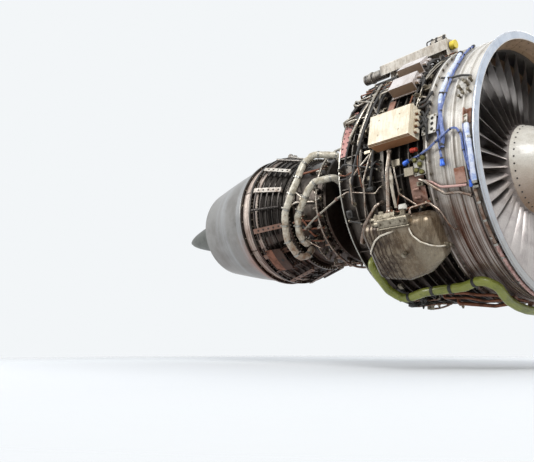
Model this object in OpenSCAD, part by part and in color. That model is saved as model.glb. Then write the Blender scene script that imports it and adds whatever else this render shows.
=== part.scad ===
// Two-spool turbofan engine for an airliner, stripped of its nacelle.
// Millimetres. +X points forward out of the inlet, +Y to port, +Z up.
// The origin is the centre of the inlet flange's front face.
// A clock angle is measured about +X from the top, positive to starboard.

/* [Fan case] */
// Radius of the fan blade tips
fan_tip_r = 762; // [740:1:790]
// Gap between the blade tips and the ring that they run in
tip_gap = 3; // [1:0.5:5]
// How far that ring stands in from the bypass duct's wall
rub_h = 2; // [1:0.5:4]
// Height of the front barrel's wall over the bypass duct
barrel_h = 59; // [52:1:65]
// How far the inlet flange's opening lies inside the barrel's wall
inlet_h = 26; // [22:1:40]
// Height of the bolted flanges over the front barrel
flange_h = 22; // [20:1:30]
// Length of the front barrel
barrel_l = 310; // [300:1:340]
// Length of the middle case
mid_l = 330; // [320:1:360]
// Length of the fan frame
frame_l = 360; // [350:1:400]
// Height of the ribs on the fan frame over the bypass duct
frame_rib_h = 48; // [40:1:56]
// Height of the ribs on the middle case over the bypass duct
mid_rib_h = 55; // [49:1:63]
// Thickness of the case flanges
flange_t = 12; // [8:1:16]
// Number of bolt holes in the inlet flange
inlet_holes = 36; // [24:2:48]
// Radius of the bolt holes in the inlet flange
inlet_hole_r = 5; // [3:0.5:7]

/* [Fan] */
// Number of fan blades
blade_count = 38; // [30:1:40]
// Station of the blades' middle, behind the inlet flange
blade_mid = 182; // [175:1:190]
// Width of a blade along its chord at the root
root_chord = 150; // [130:1:158]
// Width of a blade along its chord at the tip
tip_chord = 176; // [150:1:190]
// Stagger of a blade at the root, degrees
root_stagger = 12; // [8:1:14]
// Stagger of a blade at the tip, degrees
tip_stagger = 61; // [52:1:66]
// Radius of the spinner where it meets the blades
spinner_r = 286; // [276:1:290]
// Radius where the spinner's rear cone meets its nose
nose_r = 184; // [150:1:200]
// Length of the spinner's rear cone
cone_l = 184; // [150:1:220]
// Length of the spinner's nose
nose_l = 112; // [90:1:140]

/* [Frame and core] */
// Number of struts in the fan frame
strut_count = 12; // [8:2:12]
// Number of outlet guide vanes
vane_count = 44; // [30:2:48]
// Height of the frame's rear flange over the bore of the compressor case
core_flange_h = 46; // [36:1:56]
// Length of the compressor case
hpc_l = 480; // [460:1:520]
// Length of the combustion case
burner_l = 400; // [380:1:430]
// Length of the low-pressure turbine case
lpt_l = 350; // [340:1:380]
// Length of the turbine rear frame
rear_l = 130; // [125:1:150]
// Number of fuel nozzles
nozzle_count = 20; // [16:1:24]
// Radius of the combustion case
burner_r = 424; // [410:1:436]
// Inner radius of the low-pressure turbine case at its rear
lpt_rear = 530; // [515:1:545]
// Height of the turbine rear frame's rear flange over its ring
rear_flange_h = 35; // [28:1:40]

/* [Exhaust] */
// Length of the exhaust nozzle
nozzle_l = 706; // [600:1:800]
// Radius of the exhaust nozzle's opening
nozzle_exit_r = 404; // [390:1:430]
// Radius of the exhaust plug where it is bolted on
plug_r = 300; // [290:1:310]
// How far the plug's tip stands behind the nozzle
plug_out = 820; // [600:1:900]

/* [Fittings] */
// Length of the engine control box
control_l = 300; // [240:1:305]
// Width of the engine control box round the case
control_w = 196; // [160:1:210]
// Height of the engine control box off its feet
control_h = 100; // [70:1:110]
// Length of an ignition exciter
exciter_l = 180; // [150:1:200]
// Radius of the starter air duct
air_duct_r = 28; // [20:1:30]
// Radius of the insulated bleed ducts
bleed_r = 27; // [20:1:30]
// Radius of the turbine cooling tubes
cooling_r = 8; // [6:0.5:9]
// Radius of the hole in the rear mount
rear_pin_r = 14; // [10:0.5:16]
// Radius of the holes in the front mount
front_hole_r = 11; // [8:0.5:13]

/* [Hidden] */
$fn = 96;
gap = 0.3;
run_gap = 2;
rub_r = fan_tip_r + tip_gap;
duct_r = rub_r + rub_h;
barrel_r = duct_r + barrel_h;
inlet_r = barrel_r - inlet_h;
case_flange_r = barrel_r + flange_h;
frame_r = duct_r + frame_rib_h;
mid_rib_r = duct_r + mid_rib_h;
x_mid = -barrel_l;
x_frame = x_mid - mid_l;
x_hpc = x_frame - frame_l;
x_burner = x_hpc - hpc_l;
x_lpt = x_burner - burner_l;
x_rear = x_lpt - lpt_l;
x_nozzle = x_rear - rear_l;
x_exit = x_nozzle - nozzle_l;
x_tip = x_exit - plug_out;

// Ring seats shared by the case's liners
seat_r = inlet_r + 6;
case_bolt_r = (barrel_r + case_flange_r) / 2;
case_bolt_count = 36;
bolt_d = 8;
front_ribs = [-80, -145, -215];

// Stations of the fan blades' platforms and of the rotor behind them
platform_half = root_chord / 2 + 1;
platform_front = -blade_mid + platform_half;
platform_rear = -blade_mid - platform_half;
platform_rise = 44;
platform_t = 4;
tip_lean = 24;
rub_front = -100;
rub_rear = -222;
rim_r = spinner_r - 18;
slot_floor = rim_r - 30;
disk_front = platform_front - 6;
disk_rear = platform_rear + 4;
hub_r = 100;
shaft_r = 60;
shaft_bore = 42;

// Booster and the duct that splits the flow behind the fan
drum_r = rim_r + 72;
booster_tip = drum_r + 78;
splitter_x = x_mid - 35;
splitter_nose = booster_tip + 12;
splitter_r = splitter_nose + 40;
booster_rows = [for (x = [27, 107, 187]) splitter_x - x];
stator_rows = [for (x = [67, 147, 227]) splitter_x - x];
row_count = 30;

// Fan frame
duct_wall = 18;
strut_mid = x_frame - 210;
strut_chord = 190;
strut_t = 26;
drive_clock = 240;
drive_strut_t = 54;
radial_bore = 19;
radial_r = 14;
frame_ribs = [-90, -170, -250];
frame_webs = 24;
frame_front_r = mid_rib_r;
core_inner = drum_r - 14;
core_flange_r = core_inner + core_flange_h;
hub_front = drum_r - 8;
hub_rear = core_inner - 94;
web_r = mix(hub_front, hub_rear, 0.5) - 8;

// Bearings
bearing_r = 96;
bearing_seat = bearing_r + 24 + gap;
fan_bearings = [-blade_mid - 278, x_frame + 70];

// Middle case
mid_wall = 14;
mid_ribs = [-70, -135, -200, -265];
vane_mid = x_mid - 160;

// Compressor, burner and turbine
case_wall = 9;
hpc_rear_inner = core_inner - 38;
unison_rows = [-66, -136, -206];
unison_lift = 46;
lever_count = 20;
row_blades = 48;
burner_flange = burner_r + 28;
lpt_front = burner_r - 12;
lpt_flange = burner_r + 46;
scallop_r = lpt_rear + 32;
rear_ring = lpt_rear - 8;
rear_flange_r = rear_ring + rear_flange_h;
hub_ring = plug_r - 8;
core_bolt_count = 24;

// Gearbox and what it drives, on the port side
gear_front = x_mid - 60;
gear_depth = 150;
gear_rear = gear_front - gear_depth;
gear_in = case_flange_r + 12;
gear_out = gear_in + 96;
drive_r = gear_in + 56;
pad_r = case_flange_r + 86;

function at(x, c, r) = [x, -r * sin(c), r * cos(c)];
function unit(v) = v / norm(v);
function mix(a, b, t) = a + (b - a) * t;

module clock(c) rotate([c, 0, 0]) children();

// Turns a profile of [radius, station] points about the engine's axis
module spin(points) rotate([0, 90, 0]) rotate_extrude($fn = 120) polygon(points);

// The same over part of a turn, starting at one clock angle
module arc_spin(points, from, turn)
  clock(from) rotate([0, 90, 0]) rotate_extrude(angle = turn, start = 180, $fn = 120) polygon(points);

module ring(r1, r2, x1, x2) spin([[r1, x1], [r2, x1], [r2, x2], [r1, x2]]);

// A cylinder along the engine's axis
module rod(x1, x2, r) translate([min(x1, x2), 0, 0]) rotate([0, 90, 0]) cylinder(h = abs(x2 - x1), r = r);

module bar(a, b, r) {
  d = b - a;
  translate(a) rotate([0, acos(d.z / norm(d)), atan2(d.y, d.x)]) cylinder(h = norm(d), r = r, $fn = 32);
}

// How far from a corner its bend starts, and the turn there
function turn_at(p, i) = acos(min(1, unit(p[i] - p[i - 1]) * unit(p[i + 1] - p[i])));
function room_at(p, i) = min(norm(p[i] - p[i - 1]), norm(p[i + 1] - p[i])) * 0.48;
function bend_at(p, i, bend) =
  turn_at(p, i) < 0.5 ? 0 : min(bend, room_at(p, i) / tan(turn_at(p, i) / 2));
function trim_at(p, i, bend) =
  i == 0 || i == len(p) - 1 ? 0 : bend_at(p, i, bend) * tan(turn_at(p, i) / 2);

// A bent tube through a list of points; each elbow is a little fuller and laps over the straights
elbow_lap = 1.5;
elbow_swell = 0.5;
module pipe(p, r, bend) {
  last = len(p) - 1;
  for (i = [0:last - 1]) {
    u = unit(p[i + 1] - p[i]);
    start = trim_at(p, i, bend) > elbow_lap ? trim_at(p, i, bend) - elbow_lap : 0;
    end = trim_at(p, i + 1, bend) > elbow_lap ? trim_at(p, i + 1, bend) - elbow_lap : 0;
    bar(p[i] + u * start, p[i + 1] - u * end, r);
  }
  for (i = [1:1:last - 1])
    if (trim_at(p, i, bend) > elbow_lap) elbow(p, i, r + elbow_swell, bend);
    else translate(p[i]) sphere(r = r + 1, $fn = 48);
}

// Path through [station, clock, radius] points, with points between so that it stays round the case
arc_step = 7;
function steps(a, b) = max(1, ceil(abs(b.y - a.y) / arc_step));
function route(q) = concat([at(q[0].x, q[0].y, q[0].z)],
  [for (i = [1:len(q) - 1]) for (k = [1:steps(q[i - 1], q[i])])
    let (m = mix(q[i - 1], q[i], k / steps(q[i - 1], q[i]))) at(m.x, m.y, m.z)]);
module routed(q, r, bend) pipe(route(q), r, bend);

module elbow(p, i, r, bend) {
  u = unit(p[i] - p[i - 1]);
  v = unit(p[i + 1] - p[i]);
  n = unit(v - u * (u * v));
  w = cross(u, n);
  c = p[i] - u * trim_at(p, i, bend) + n * bend_at(p, i, bend);
  multmatrix([[-n.x, u.x, w.x, c.x], [-n.y, u.y, w.y, c.y], [-n.z, u.z, w.z, c.z]])
    rotate_extrude(angle = turn_at(p, i), $fn = 96) translate([bend_at(p, i, bend), 0]) circle(r = r, $fn = 32);
}

// A straight-sided blade outline, chord along X
module blade_outline(chord, thick)
  polygon([[chord / 2, 0], [chord * 0.3, thick * 0.4], [0, thick / 2], [-chord * 0.5, 0.6],
           [-chord * 0.5, -0.6], [0, -thick / 2], [chord * 0.3, -thick * 0.4]]);

// A row of straight blades standing on a rotor or in a case
module blade_row(count, x, r1, r2, chord, thick, stagger)
  for (i = [0:count - 1]) clock(i * 360 / count) translate([x, 0, r1])
    rotate([0, 0, stagger]) linear_extrude(r2 - r1) blade_outline(chord, thick);

// The same with a plain outline, for the rows inside
module slim_row(count, x, r1, r2, chord, thick, stagger)
  for (i = [0:count - 1]) clock(i * 360 / count) translate([x, 0, r1]) rotate([0, 0, stagger])
    linear_extrude(r2 - r1) polygon([[chord / 2, 0], [chord / 10, thick / 2], [-chord / 2, 0], [chord / 10, -thick / 2]]);

// Hexagon bolts and nuts through a pair of flanges
module flange_bolts(count, r, x, grip, d)
  for (i = [0:count - 1]) clock((i + 0.5) * 360 / count) translate([x, 0, r]) {
    rod(-grip / 2, grip / 2, d / 2, $fn = 24);
    rod(grip / 2, grip / 2 + d * 0.65, d * 0.85, $fn = 6);
    rod(-grip / 2 - d * 0.8, -grip / 2, d * 0.85, $fn = 6);
  }

module flange_holes(count, r, x, grip, d)
  for (i = [0:count - 1]) clock((i + 0.5) * 360 / count) translate([x, 0, r])
    rod(-grip, grip, d / 2 + gap, $fn = 24);

// Front barrel of the fan case, with its inlet flange
function rib(x, r, h) = [[r, x + 7], [r + h, x + 4], [r + h, x - 4], [r, x - 7]];
module fan_case() color("silver") difference() {
  spin(concat(
    [[inlet_r, 0], [case_flange_r, 0], [case_flange_r, -flange_t], [barrel_r, -flange_t]],
    [for (x = front_ribs) for (p = rib(x, barrel_r, 10)) p],
    [[barrel_r, x_mid + flange_t], [case_flange_r, x_mid + flange_t], [case_flange_r, x_mid],
     [duct_r, x_mid], [duct_r, x_mid + 8], [seat_r, x_mid + 8], [seat_r, -4], [inlet_r, -4]]));
  for (i = [0:inlet_holes - 1]) clock(i * 360 / inlet_holes) translate([0, 0, case_bolt_r])
    rod(-flange_t - 1, 1, inlet_hole_r, $fn = 32);
  flange_holes(case_bolt_count, case_bolt_r, x_mid + flange_t / 2, flange_t, bolt_d);
}

// Sound-absorbing linings ahead of and behind the blades
module acoustic_liners() color("tan") {
  spin([[inlet_r, -4 - gap], [seat_r - gap, -4 - gap], [seat_r - gap, rub_front + gap],
        [rub_r + 4, rub_front + gap], [rub_r + 8, rub_front + 30]]);
  ring(duct_r, seat_r - gap, x_mid + 8 + gap, rub_rear - gap);
}

// Abradable ring that the blade tips run in
module rub_strip() color("dimgray") difference() {
  ring(rub_r, seat_r - gap, rub_rear, rub_front);
  for (x = [rub_front - 20:-24:rub_rear + 12]) ring(rub_r - 1, rub_r + 1, x - 2, x + 2);
}

// Middle case with its stiffening ribs, over the outlet vanes
function flat_rib(x, r, h) = [[r, x + 4], [r + h, x + 4], [r + h, x - 4], [r, x - 4]];
module mid_case() color("gray") difference() {
  spin(concat(
    [[duct_r, x_mid - gap], [case_flange_r, x_mid - gap], [case_flange_r, x_mid - flange_t],
     [duct_r + mid_wall, x_mid - flange_t]],
    [for (x = mid_ribs) for (p = flat_rib(x_mid + x, duct_r + mid_wall, mid_rib_r - duct_r - mid_wall)) p],
    [[duct_r + mid_wall, x_frame + flange_t], [mid_rib_r, x_frame + flange_t], [mid_rib_r, x_frame],
     [duct_r, x_frame]]));
  flange_holes(case_bolt_count, case_bolt_r, x_mid - flange_t / 2, flange_t, bolt_d);
  for (i = [0:case_bolt_count - 1]) clock(i * 360 / case_bolt_count) translate([0, 0, mid_rib_r - 16])
    rod(x_frame + flange_t + 4, x_mid - flange_t - 4, 8, $fn = 32);
}

// Fan frame: outer ring, struts, flow divider and hub cast as one
module fan_frame() color("darkgray") difference() {
  union() {
    spin(concat(
      [[duct_r, x_frame - gap], [frame_front_r, x_frame - gap], [frame_front_r, x_frame - flange_t],
       [duct_r + duct_wall, x_frame - flange_t]],
      [for (x = frame_ribs) for (p = flat_rib(x_frame + x, duct_r + duct_wall, frame_r - duct_r - duct_wall)) p],
      [[duct_r + duct_wall, x_hpc + flange_t], [frame_r, x_hpc + flange_t], [frame_r, x_hpc], [duct_r, x_hpc]]));
    for (i = [0:frame_webs - 1]) clock((i + 0.5) * 360 / frame_webs)
      translate([x_hpc + 2, -3, duct_r + 4]) cube([frame_l - 6, 6, frame_r - duct_r - 8]);
    spin([[booster_tip - 6, x_frame - gap], [splitter_r, x_frame - gap], [splitter_r, x_hpc],
          [splitter_r - 9, x_hpc], [splitter_r - 9, x_frame - 16], [booster_tip + 6, x_frame - 16],
          [core_inner + 9, x_hpc + 14], [core_flange_r, x_hpc + 14], [core_flange_r, x_hpc],
          [core_inner, x_hpc]]);
    spin([[hub_front - 10, x_frame - gap], [hub_front, x_frame - gap], [hub_rear, x_hpc],
          [hub_rear - 10, x_hpc]]);
    spin([[bearing_seat, strut_mid - 10], [160, strut_mid - 10], [web_r, strut_mid + 30],
          [web_r, strut_mid + 14], [160, strut_mid - 26], [bearing_seat + 12, strut_mid - 26],
          [bearing_seat + 12, x_hpc + 14], [bearing_seat, x_hpc + 14]]);
    for (i = [0:strut_count - 1]) clock(i * 360 / strut_count) translate([strut_mid, 0, hub_rear + 12])
      linear_extrude(duct_r + 8 - hub_rear - 12) blade_outline(strut_chord, strut_t);
    clock(drive_clock) translate([strut_mid, 0, hub_rear + 12])
      linear_extrude(duct_r + 8 - hub_rear - 12) blade_outline(strut_chord, drive_strut_t);
    clock(drive_clock) translate([strut_mid, 0, duct_r + 4]) cylinder(h = frame_r - duct_r - 4, r = 44);
  }
  clock(drive_clock) translate([strut_mid, 0, 150]) cylinder(h = frame_r, r = radial_bore);
}

// Guide vanes behind the fan, between an inner and an outer band
module outlet_vanes() color("lightslategray") {
  ring(duct_r - 7, duct_r - gap, vane_mid - 52, vane_mid + 52);
  ring(splitter_r + gap, splitter_r + 6, vane_mid - 52, vane_mid + 52);
  blade_row(vane_count, vane_mid, splitter_r + 3, duct_r - 4, 92, 9, -10);
}

// Booster case: splitter lip, its outer skin and the stator rows inside
module splitter() color("lightgray") {
  spin([[splitter_nose - 4, splitter_x], [splitter_nose + 4, splitter_x], [splitter_r, splitter_x - 75],
        [splitter_r, x_frame + gap], [splitter_r - 7, x_frame + gap], [splitter_r - 7, splitter_x - 78],
        [splitter_nose, splitter_x - 10], [booster_tip + 8, splitter_x - 12],
        [booster_tip + 8, x_frame + 12], [booster_tip + 26, x_frame + 12], [booster_tip + 26, x_frame + gap],
        [booster_tip + run_gap, x_frame + gap], [booster_tip + run_gap, splitter_x - 6]]);
  for (x = stator_rows) slim_row(row_count, x, drum_r + 8, booster_tip + 5, 30, 4, -24);
}

// Spinner nose: a domed cap with a flat band round its edge
module spinner_nose() color("gainsboro") spin(concat(
  [[0, platform_front + cone_l + nose_l]],
  [for (a = [12:12:84]) [nose_r * sin(a), platform_front + cone_l + 14 + (nose_l - 14) * cos(a)]],
  [[nose_r, platform_front + cone_l + 14], [nose_r, platform_front + cone_l + gap],
   [nose_r - 22, platform_front + cone_l + gap], [nose_r - 22, platform_front + cone_l - 10],
   [nose_r - 26, platform_front + cone_l - 10], [nose_r - 26, platform_front + cone_l + 20],
   [0, platform_front + cone_l + nose_l - 6]]));

// Rear cone of the spinner, bolted to the fan disk
module spinner_cone() color("linen") spin([
  [spinner_r, platform_front + gap], [mix(spinner_r, nose_r, 0.5) + 6, platform_front + cone_l / 2],
  [nose_r, platform_front + cone_l], [nose_r - 21.7, platform_front + cone_l],
  [nose_r - 21.7, platform_front + cone_l - 5], [nose_r - 5, platform_front + cone_l - 5],
  [mix(spinner_r, nose_r, 0.5) + 1, platform_front + cone_l / 2], [spinner_r - 6, platform_front + 8],
  [slot_floor, platform_front + 8], [slot_floor, disk_front + gap], [rim_r + 8, disk_front + gap],
  [rim_r + 8, platform_front + gap]]);

// Root of a fan blade as it looks along the engine, with room added round it
module root_outline(room) polygon([
  [-6 - room, rim_r + 12], [-6 - room, rim_r - 8], [-12 - room, slot_floor + 5 - room],
  [-12 - room, slot_floor - room], [12 + room, slot_floor - room], [12 + room, slot_floor + 5 - room],
  [6 + room, rim_r - 8], [6 + room, rim_r + 12]]);

// Stands an outline of [tangent, radius] up across the engine and runs it along X
module along(x1, x2) translate([x1, 0, 0]) rotate([90, 0, 90]) linear_extrude(x2 - x1) children();

module fan_disk() color("slategray") difference() {
  spin([[rim_r, disk_front], [rim_r, disk_rear], [slot_floor - 12, disk_rear],
        [slot_floor - 26, -blade_mid - 24], [hub_r + 34, -blade_mid - 18], [hub_r + 26, -blade_mid - 46],
        [hub_r, -blade_mid - 46], [hub_r, -blade_mid + 40], [hub_r + 26, -blade_mid + 40],
        [hub_r + 34, -blade_mid + 14], [slot_floor - 26, -blade_mid + 20], [slot_floor - 12, disk_front]]);
  for (i = [0:blade_count - 1]) clock(i * 360 / blade_count)
    along(disk_rear - 1, disk_front + 1) root_outline(gap);
}

// Fan blade sections: camber, thickness, stagger, chord and mid station by span
spans = [0, 0.14, 0.35, 0.58, 0.8, 1];
section = [[0.5, 0], [0.16, 0.5], [-0.22, 0.4], [-0.5, 0], [-0.22, -0.4], [0.16, -0.5]];
camber_lift = 0.78;
function span_r(t) = mix(rim_r + 10, fan_tip_r, t);
function chord_at(t) = mix(root_chord - 12, tip_chord, t);
function stagger_at(t) = mix(root_stagger, tip_stagger, t);
function thick_at(t) = mix(13, 4.5, sqrt(t));
function camber_at(t) = mix(18, 3, t);
function mid_at(t) = -blade_mid + tip_lean * t;
function blade_point(t, q) =
  let (g = stagger_at(t), u = q.x * chord_at(t),
       n = camber_at(t) * (camber_lift - 4 * q.x * q.x) + q.y * thick_at(t),
       x = mid_at(t) + u * cos(g) + n * sin(g), s = u * sin(g) - n * cos(g))
  at(x, s / span_r(t) * 180 / PI, span_r(t));
module fan_blade() {
  m = len(section);
  rings = len(spans);
  polyhedron(
    points = [for (t = spans) for (q = section) blade_point(t, q)],
    faces = concat(
      [[for (j = [0:m - 1]) j]],
      [for (i = [0:rings - 2]) for (j = [0:m - 1]) for (k = [0, 1])
        let (a = i * m + j, b = i * m + (j + 1) % m)
        k == 0 ? [a, a + m, b + m] : [a, b + m, b]],
      [[for (j = [m - 1:-1:0]) (rings - 1) * m + j]]));
  along(disk_rear, disk_front) root_outline(0);
  arc_spin([[spinner_r, platform_front], [spinner_r + platform_rise, platform_rear],
            [spinner_r + platform_rise - platform_t, platform_rear], [spinner_r - platform_t, platform_front]],
    -180 / blade_count + 0.05, 360 / blade_count - 0.1);
  translate([0, 4, 0]) rotate([90, 0, 0]) linear_extrude(8)
    polygon([[platform_rear + 6, rim_r + 6], [platform_front - 6, rim_r + 6],
             [platform_front - 6, spinner_r - 1], [platform_rear + 6, spinner_r + platform_rise - 4]]);
}
module fan_blades() color("silver")
  for (i = [0:blade_count - 1]) clock(i * 360 / blade_count) fan_blade();

// Booster drum with its three rows of blades
module booster_rotor() color("lightslategray") {
  spin([[slot_floor - 10, disk_rear - gap], [rim_r, disk_rear - gap], [rim_r, disk_rear - 8],
        [drum_r, splitter_x + 5], [drum_r, stator_rows[2] - 14], [drum_r - 8, stator_rows[2] - 14],
        [drum_r - 8, splitter_x], [slot_floor - 10, disk_rear - 9]]);
  for (x = booster_rows) slim_row(row_count, x, drum_r - 4, booster_tip, 34, 5, 34);
}

// Low-pressure shaft from the fan disk back to the turbine
module lp_shaft() color("gray")
  spin([[shaft_bore, -blade_mid + 40], [hub_r - gap, -blade_mid + 40], [hub_r - gap, -blade_mid - 46 - gap],
        [hub_r + 24, -blade_mid - 46 - gap], [hub_r + 24, -blade_mid - 56], [hub_r - 10, -blade_mid - 62],
        [shaft_r, -blade_mid - 180], [shaft_r, hpt_x + 14], [shaft_r + 14 - gap, hpt_x + 10],
        [shaft_r + 14 - gap, hpt_x - 10], [shaft_r, hpt_x - 14], [shaft_r, lpt_web - 12], [shaft_r + 18, lpt_web - 12],
        [shaft_r + 18, lpt_web - 22], [shaft_r, lpt_web - 22], [shaft_r, x_nozzle + 30],
        [shaft_bore, x_nozzle + 30]]);

// High-pressure spool: compressor drum with its nine rows, and the turbine it is driven by
hpc_pitch = (hpc_l - 104) / 8;
hpc_rows = [for (i = [0:8]) x_hpc - 46 - hpc_pitch * i];
function hpc_tip(x) = mix(core_inner - 4, hpc_rear_inner - 4, (x_hpc - x) / hpc_l);
function hpc_drum(x) = mix(hub_rear - 16, hpc_rear_inner - 26, (x_hpc - x) / hpc_l);
module hpc_rotor() color("slategray") {
  spin([[shaft_r + 14, x_hpc + 60], [shaft_r + 26, x_hpc + 60], [shaft_r + 26, x_hpc - 10],
        [hpc_drum(x_hpc - 22), x_hpc - 22], [hpc_drum(x_burner + 12), x_burner + 12],
        [shaft_r + 34, x_burner - 40], [shaft_r + 34, hpt_x + 24], [shaft_r + 14, hpt_x + 24],
        [shaft_r + 14, x_burner - 30], [hpc_drum(x_burner + 12) - 12, x_burner + 22],
        [hpc_drum(x_hpc - 22) - 12, x_hpc - 34], [shaft_r + 14, x_hpc - 20]]);
  for (x = hpc_rows) slim_row(lever_count, x, hpc_drum(x) - 5, hpc_tip(x) - run_gap, 26, 4, 30);
}

hpt_x = x_lpt + 26;
hpt_tip = burner_r - 76;
hpt_rim = hpt_tip - 82;
module hpt_rotor() color("dimgray") {
  spin([[shaft_r + 14, hpt_x + 24 - gap], [shaft_r + 60, hpt_x + 24 - gap], [shaft_r + 80, hpt_x + 8],
        [hpt_rim - 26, hpt_x + 8], [hpt_rim - 14, hpt_x + 18], [hpt_rim, hpt_x + 18],
        [hpt_rim, hpt_x - 18], [hpt_rim - 14, hpt_x - 18], [hpt_rim - 26, hpt_x - 8],
        [shaft_r + 80, hpt_x - 8], [shaft_r + 60, hpt_x - 22], [shaft_r + 14, hpt_x - 22]]);
  slim_row(row_blades, hpt_x, hpt_rim - 4, hpt_tip - run_gap, 30, 8, 38);
}

// Low-pressure turbine: four bladed stages on one drum
lpt_web = mix(x_lpt, x_rear, 0.5);
lpt_rows = [for (i = [0:3]) mix(x_lpt, x_rear, 0.2 + 0.22 * i)];
function lpt_inner(x) = mix(lpt_front, lpt_rear, (x_lpt - x) / lpt_l);
function lpt_drum(x) = mix(lpt_front - 94, lpt_rear - 180, (x_lpt - x) / lpt_l);
module lpt_rotor() color("dimgray") {
  spin([[lpt_drum(lpt_rows[0]), lpt_rows[0] + 20], [lpt_drum(lpt_rows[3]), lpt_rows[3] - 20],
        [lpt_drum(lpt_rows[3]) - 9, lpt_rows[3] - 20], [lpt_drum(lpt_web) - 9, lpt_web - 8],
        [shaft_r + 30, lpt_web - 12 + gap], [shaft_r + gap, lpt_web - 12 + gap],
        [shaft_r + gap, lpt_web + 14], [shaft_r + 30, lpt_web + 14],
        [lpt_drum(lpt_web) - 9, lpt_web + 4], [lpt_drum(lpt_rows[0]) - 9, lpt_rows[0] + 20]]);
  for (x = lpt_rows) slim_row(row_blades, x, lpt_drum(x) - 4, lpt_inner(x + 16) - 2 - run_gap, 32, 6, 30);
}

// Bearings: two for the fan, one for the compressor, one behind the turbine
module bearing(x1, x2, r1, r2) {
  ring(r1, r1 + 5, x1, x2);
  ring(r2 - 5, r2, x1, x2);
  for (i = [0:15]) clock(i * 22.5) translate([0, 0, (r1 + r2) / 2])
    rod(x1 + 4, x2 - 4, (r2 - r1) / 2 - 5 + 0.5, $fn = 24);
}
module bearings() color("lightsteelblue") {
  for (x = fan_bearings) bearing(x - 12, x + 12, shaft_r + gap, bearing_r);
  bearing(x_hpc + 16, x_hpc + 40, shaft_r + 26 + gap, bearing_r + 24);
  bearing(x_nozzle + 40, x_nozzle + 66, shaft_r + gap, bearing_r);
}

// Sleeve and flange that carry the fan's bearings ahead of the frame
module bearing_support() color("gray") {
  spin([[bearing_r + gap, fan_bearings[0] + 16], [bearing_r + 10, fan_bearings[0] + 16],
        [bearing_r + 14, x_frame + 40], [156, strut_mid + 20], [156, strut_mid - 10 + gap],
        [bearing_r + gap + 16, strut_mid - 10 + gap], [bearing_r + gap + 16, strut_mid],
        [bearing_r + gap, x_frame]]);
}

// Front mount: a saddle on the fan frame with four holes in its top face
mount_top = frame_r + 84;
mount_x = x_hpc + 70;
module forward_mount() color("dimgray") difference() {
  translate([mount_x - 55, -60, frame_r - 12]) cube([110, 120, mount_top - frame_r + 12]);
  rod(mount_x - 60, mount_x + 60, frame_r + gap, $fn = 200);
  for (x = [-35, 35], y = [-40, 40]) translate([mount_x + x, y, mount_top - 45])
    cylinder(h = 50, r = front_hole_r, $fn = 48);
  for (y = [-60, 60]) translate([mount_x - 56, y, frame_r + 48]) rotate([0, 90, 0]) cylinder(h = 112, r = 22);
}

// High-pressure compressor case in two halves joined along the sides
function hpc_inner(x) = mix(core_inner, hpc_rear_inner, (x_hpc - x) / hpc_l);
function hpc_outer(x) = hpc_inner(x) + case_wall;
module hpc_case() color("rosybrown") {
  spin(concat(
    [[core_inner, x_hpc - gap], [core_flange_r, x_hpc - gap], [core_flange_r, x_hpc - 14],
     [hpc_outer(x_hpc - 16), x_hpc - 16]],
    [for (x = [-270, -310]) for (q = [[0, 7], [34, 4], [34, -4], [0, -7]])
      [hpc_outer(x_hpc + x) + q.x, x_hpc + x + q.y]],
    [[hpc_outer(x_burner + 16), x_burner + 16], [burner_flange, x_burner + 12], [burner_flange, x_burner],
     [hpc_rear_inner, x_burner]]));
  for (side = [-1, 1]) for (half = [-1, 1]) translate([x_burner + 10, side * (core_inner + 4) - 12, half * 7 - 6])
    cube([hpc_l - 20, 24, 12]);
  for (x = unison_rows) for (i = [0:lever_count - 1]) clock((i + 0.5) * 360 / lever_count)
    translate([x_hpc + x, 0, hpc_outer(x_hpc + x) - 4])
      cylinder(h = unison_lift - lever_drop + 4 - 0.5, r = 9, $fn = 24);
}

// Three unison rings that turn together, with a lever to each vane and a fork for the crank
lever_drop = 15;
function unison_r(x) = hpc_outer(x_hpc + x) + unison_lift;
crank_clock = 300;
crank_x = x_hpc - 24;
crank_arm = 52;
fork_x = crank_x - crank_arm;
crank_r = core_flange_r + 40;
bridge_r = unison_r(unison_rows[0]) + 5.5;
module vsv_rings() color("silver") {
  for (x = unison_rows) {
    ring(unison_r(x) - 6, unison_r(x) + 6, x_hpc + x - 36, x_hpc + x - 22);
    for (i = [0:lever_count - 1]) clock((i + 0.5) * 360 / lever_count)
      translate([x_hpc + x - 30, -5, unison_r(x) - lever_drop]) cube([36, 10, 10]);
  }
  clock(crank_clock) {
    translate([x_hpc + unison_rows[2] - 34, -16, bridge_r]) cube([fork_x + 9 - x_hpc - unison_rows[2] + 34, 32, 6]);
    for (x = unison_rows) translate([x_hpc + x - 34, -16, unison_r(x) + 4])
      cube([10, 32, bridge_r + 2 - unison_r(x) - 4]);
    for (s = [-1, 1]) translate([fork_x - 9, s * 13 - 4, bridge_r]) cube([18, 8, crank_r + 26 - bridge_r]);
  }
}

// Bell crank between the actuator's rod and the unison rings
module vsv_crank() color("gainsboro") clock(crank_clock) difference() {
  union() {
    translate([crank_x, 0, crank_r]) cylinder(h = 12, r = 15, $fn = 48);
    translate([fork_x, -5, crank_r]) cube([crank_arm, 10, 8]);
    translate([fork_x, 0, crank_r]) cylinder(h = 24, r = 7, $fn = 48);
    translate([crank_x - 5, 0, crank_r]) cube([10, crank_arm, 8]);
    translate([crank_x, crank_arm, crank_r]) cylinder(h = 24, r = 7, $fn = 48);
  }
  translate([crank_x, 0, crank_r - 1]) cylinder(h = 20, r = 6 + gap, $fn = 48);
}

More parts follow.
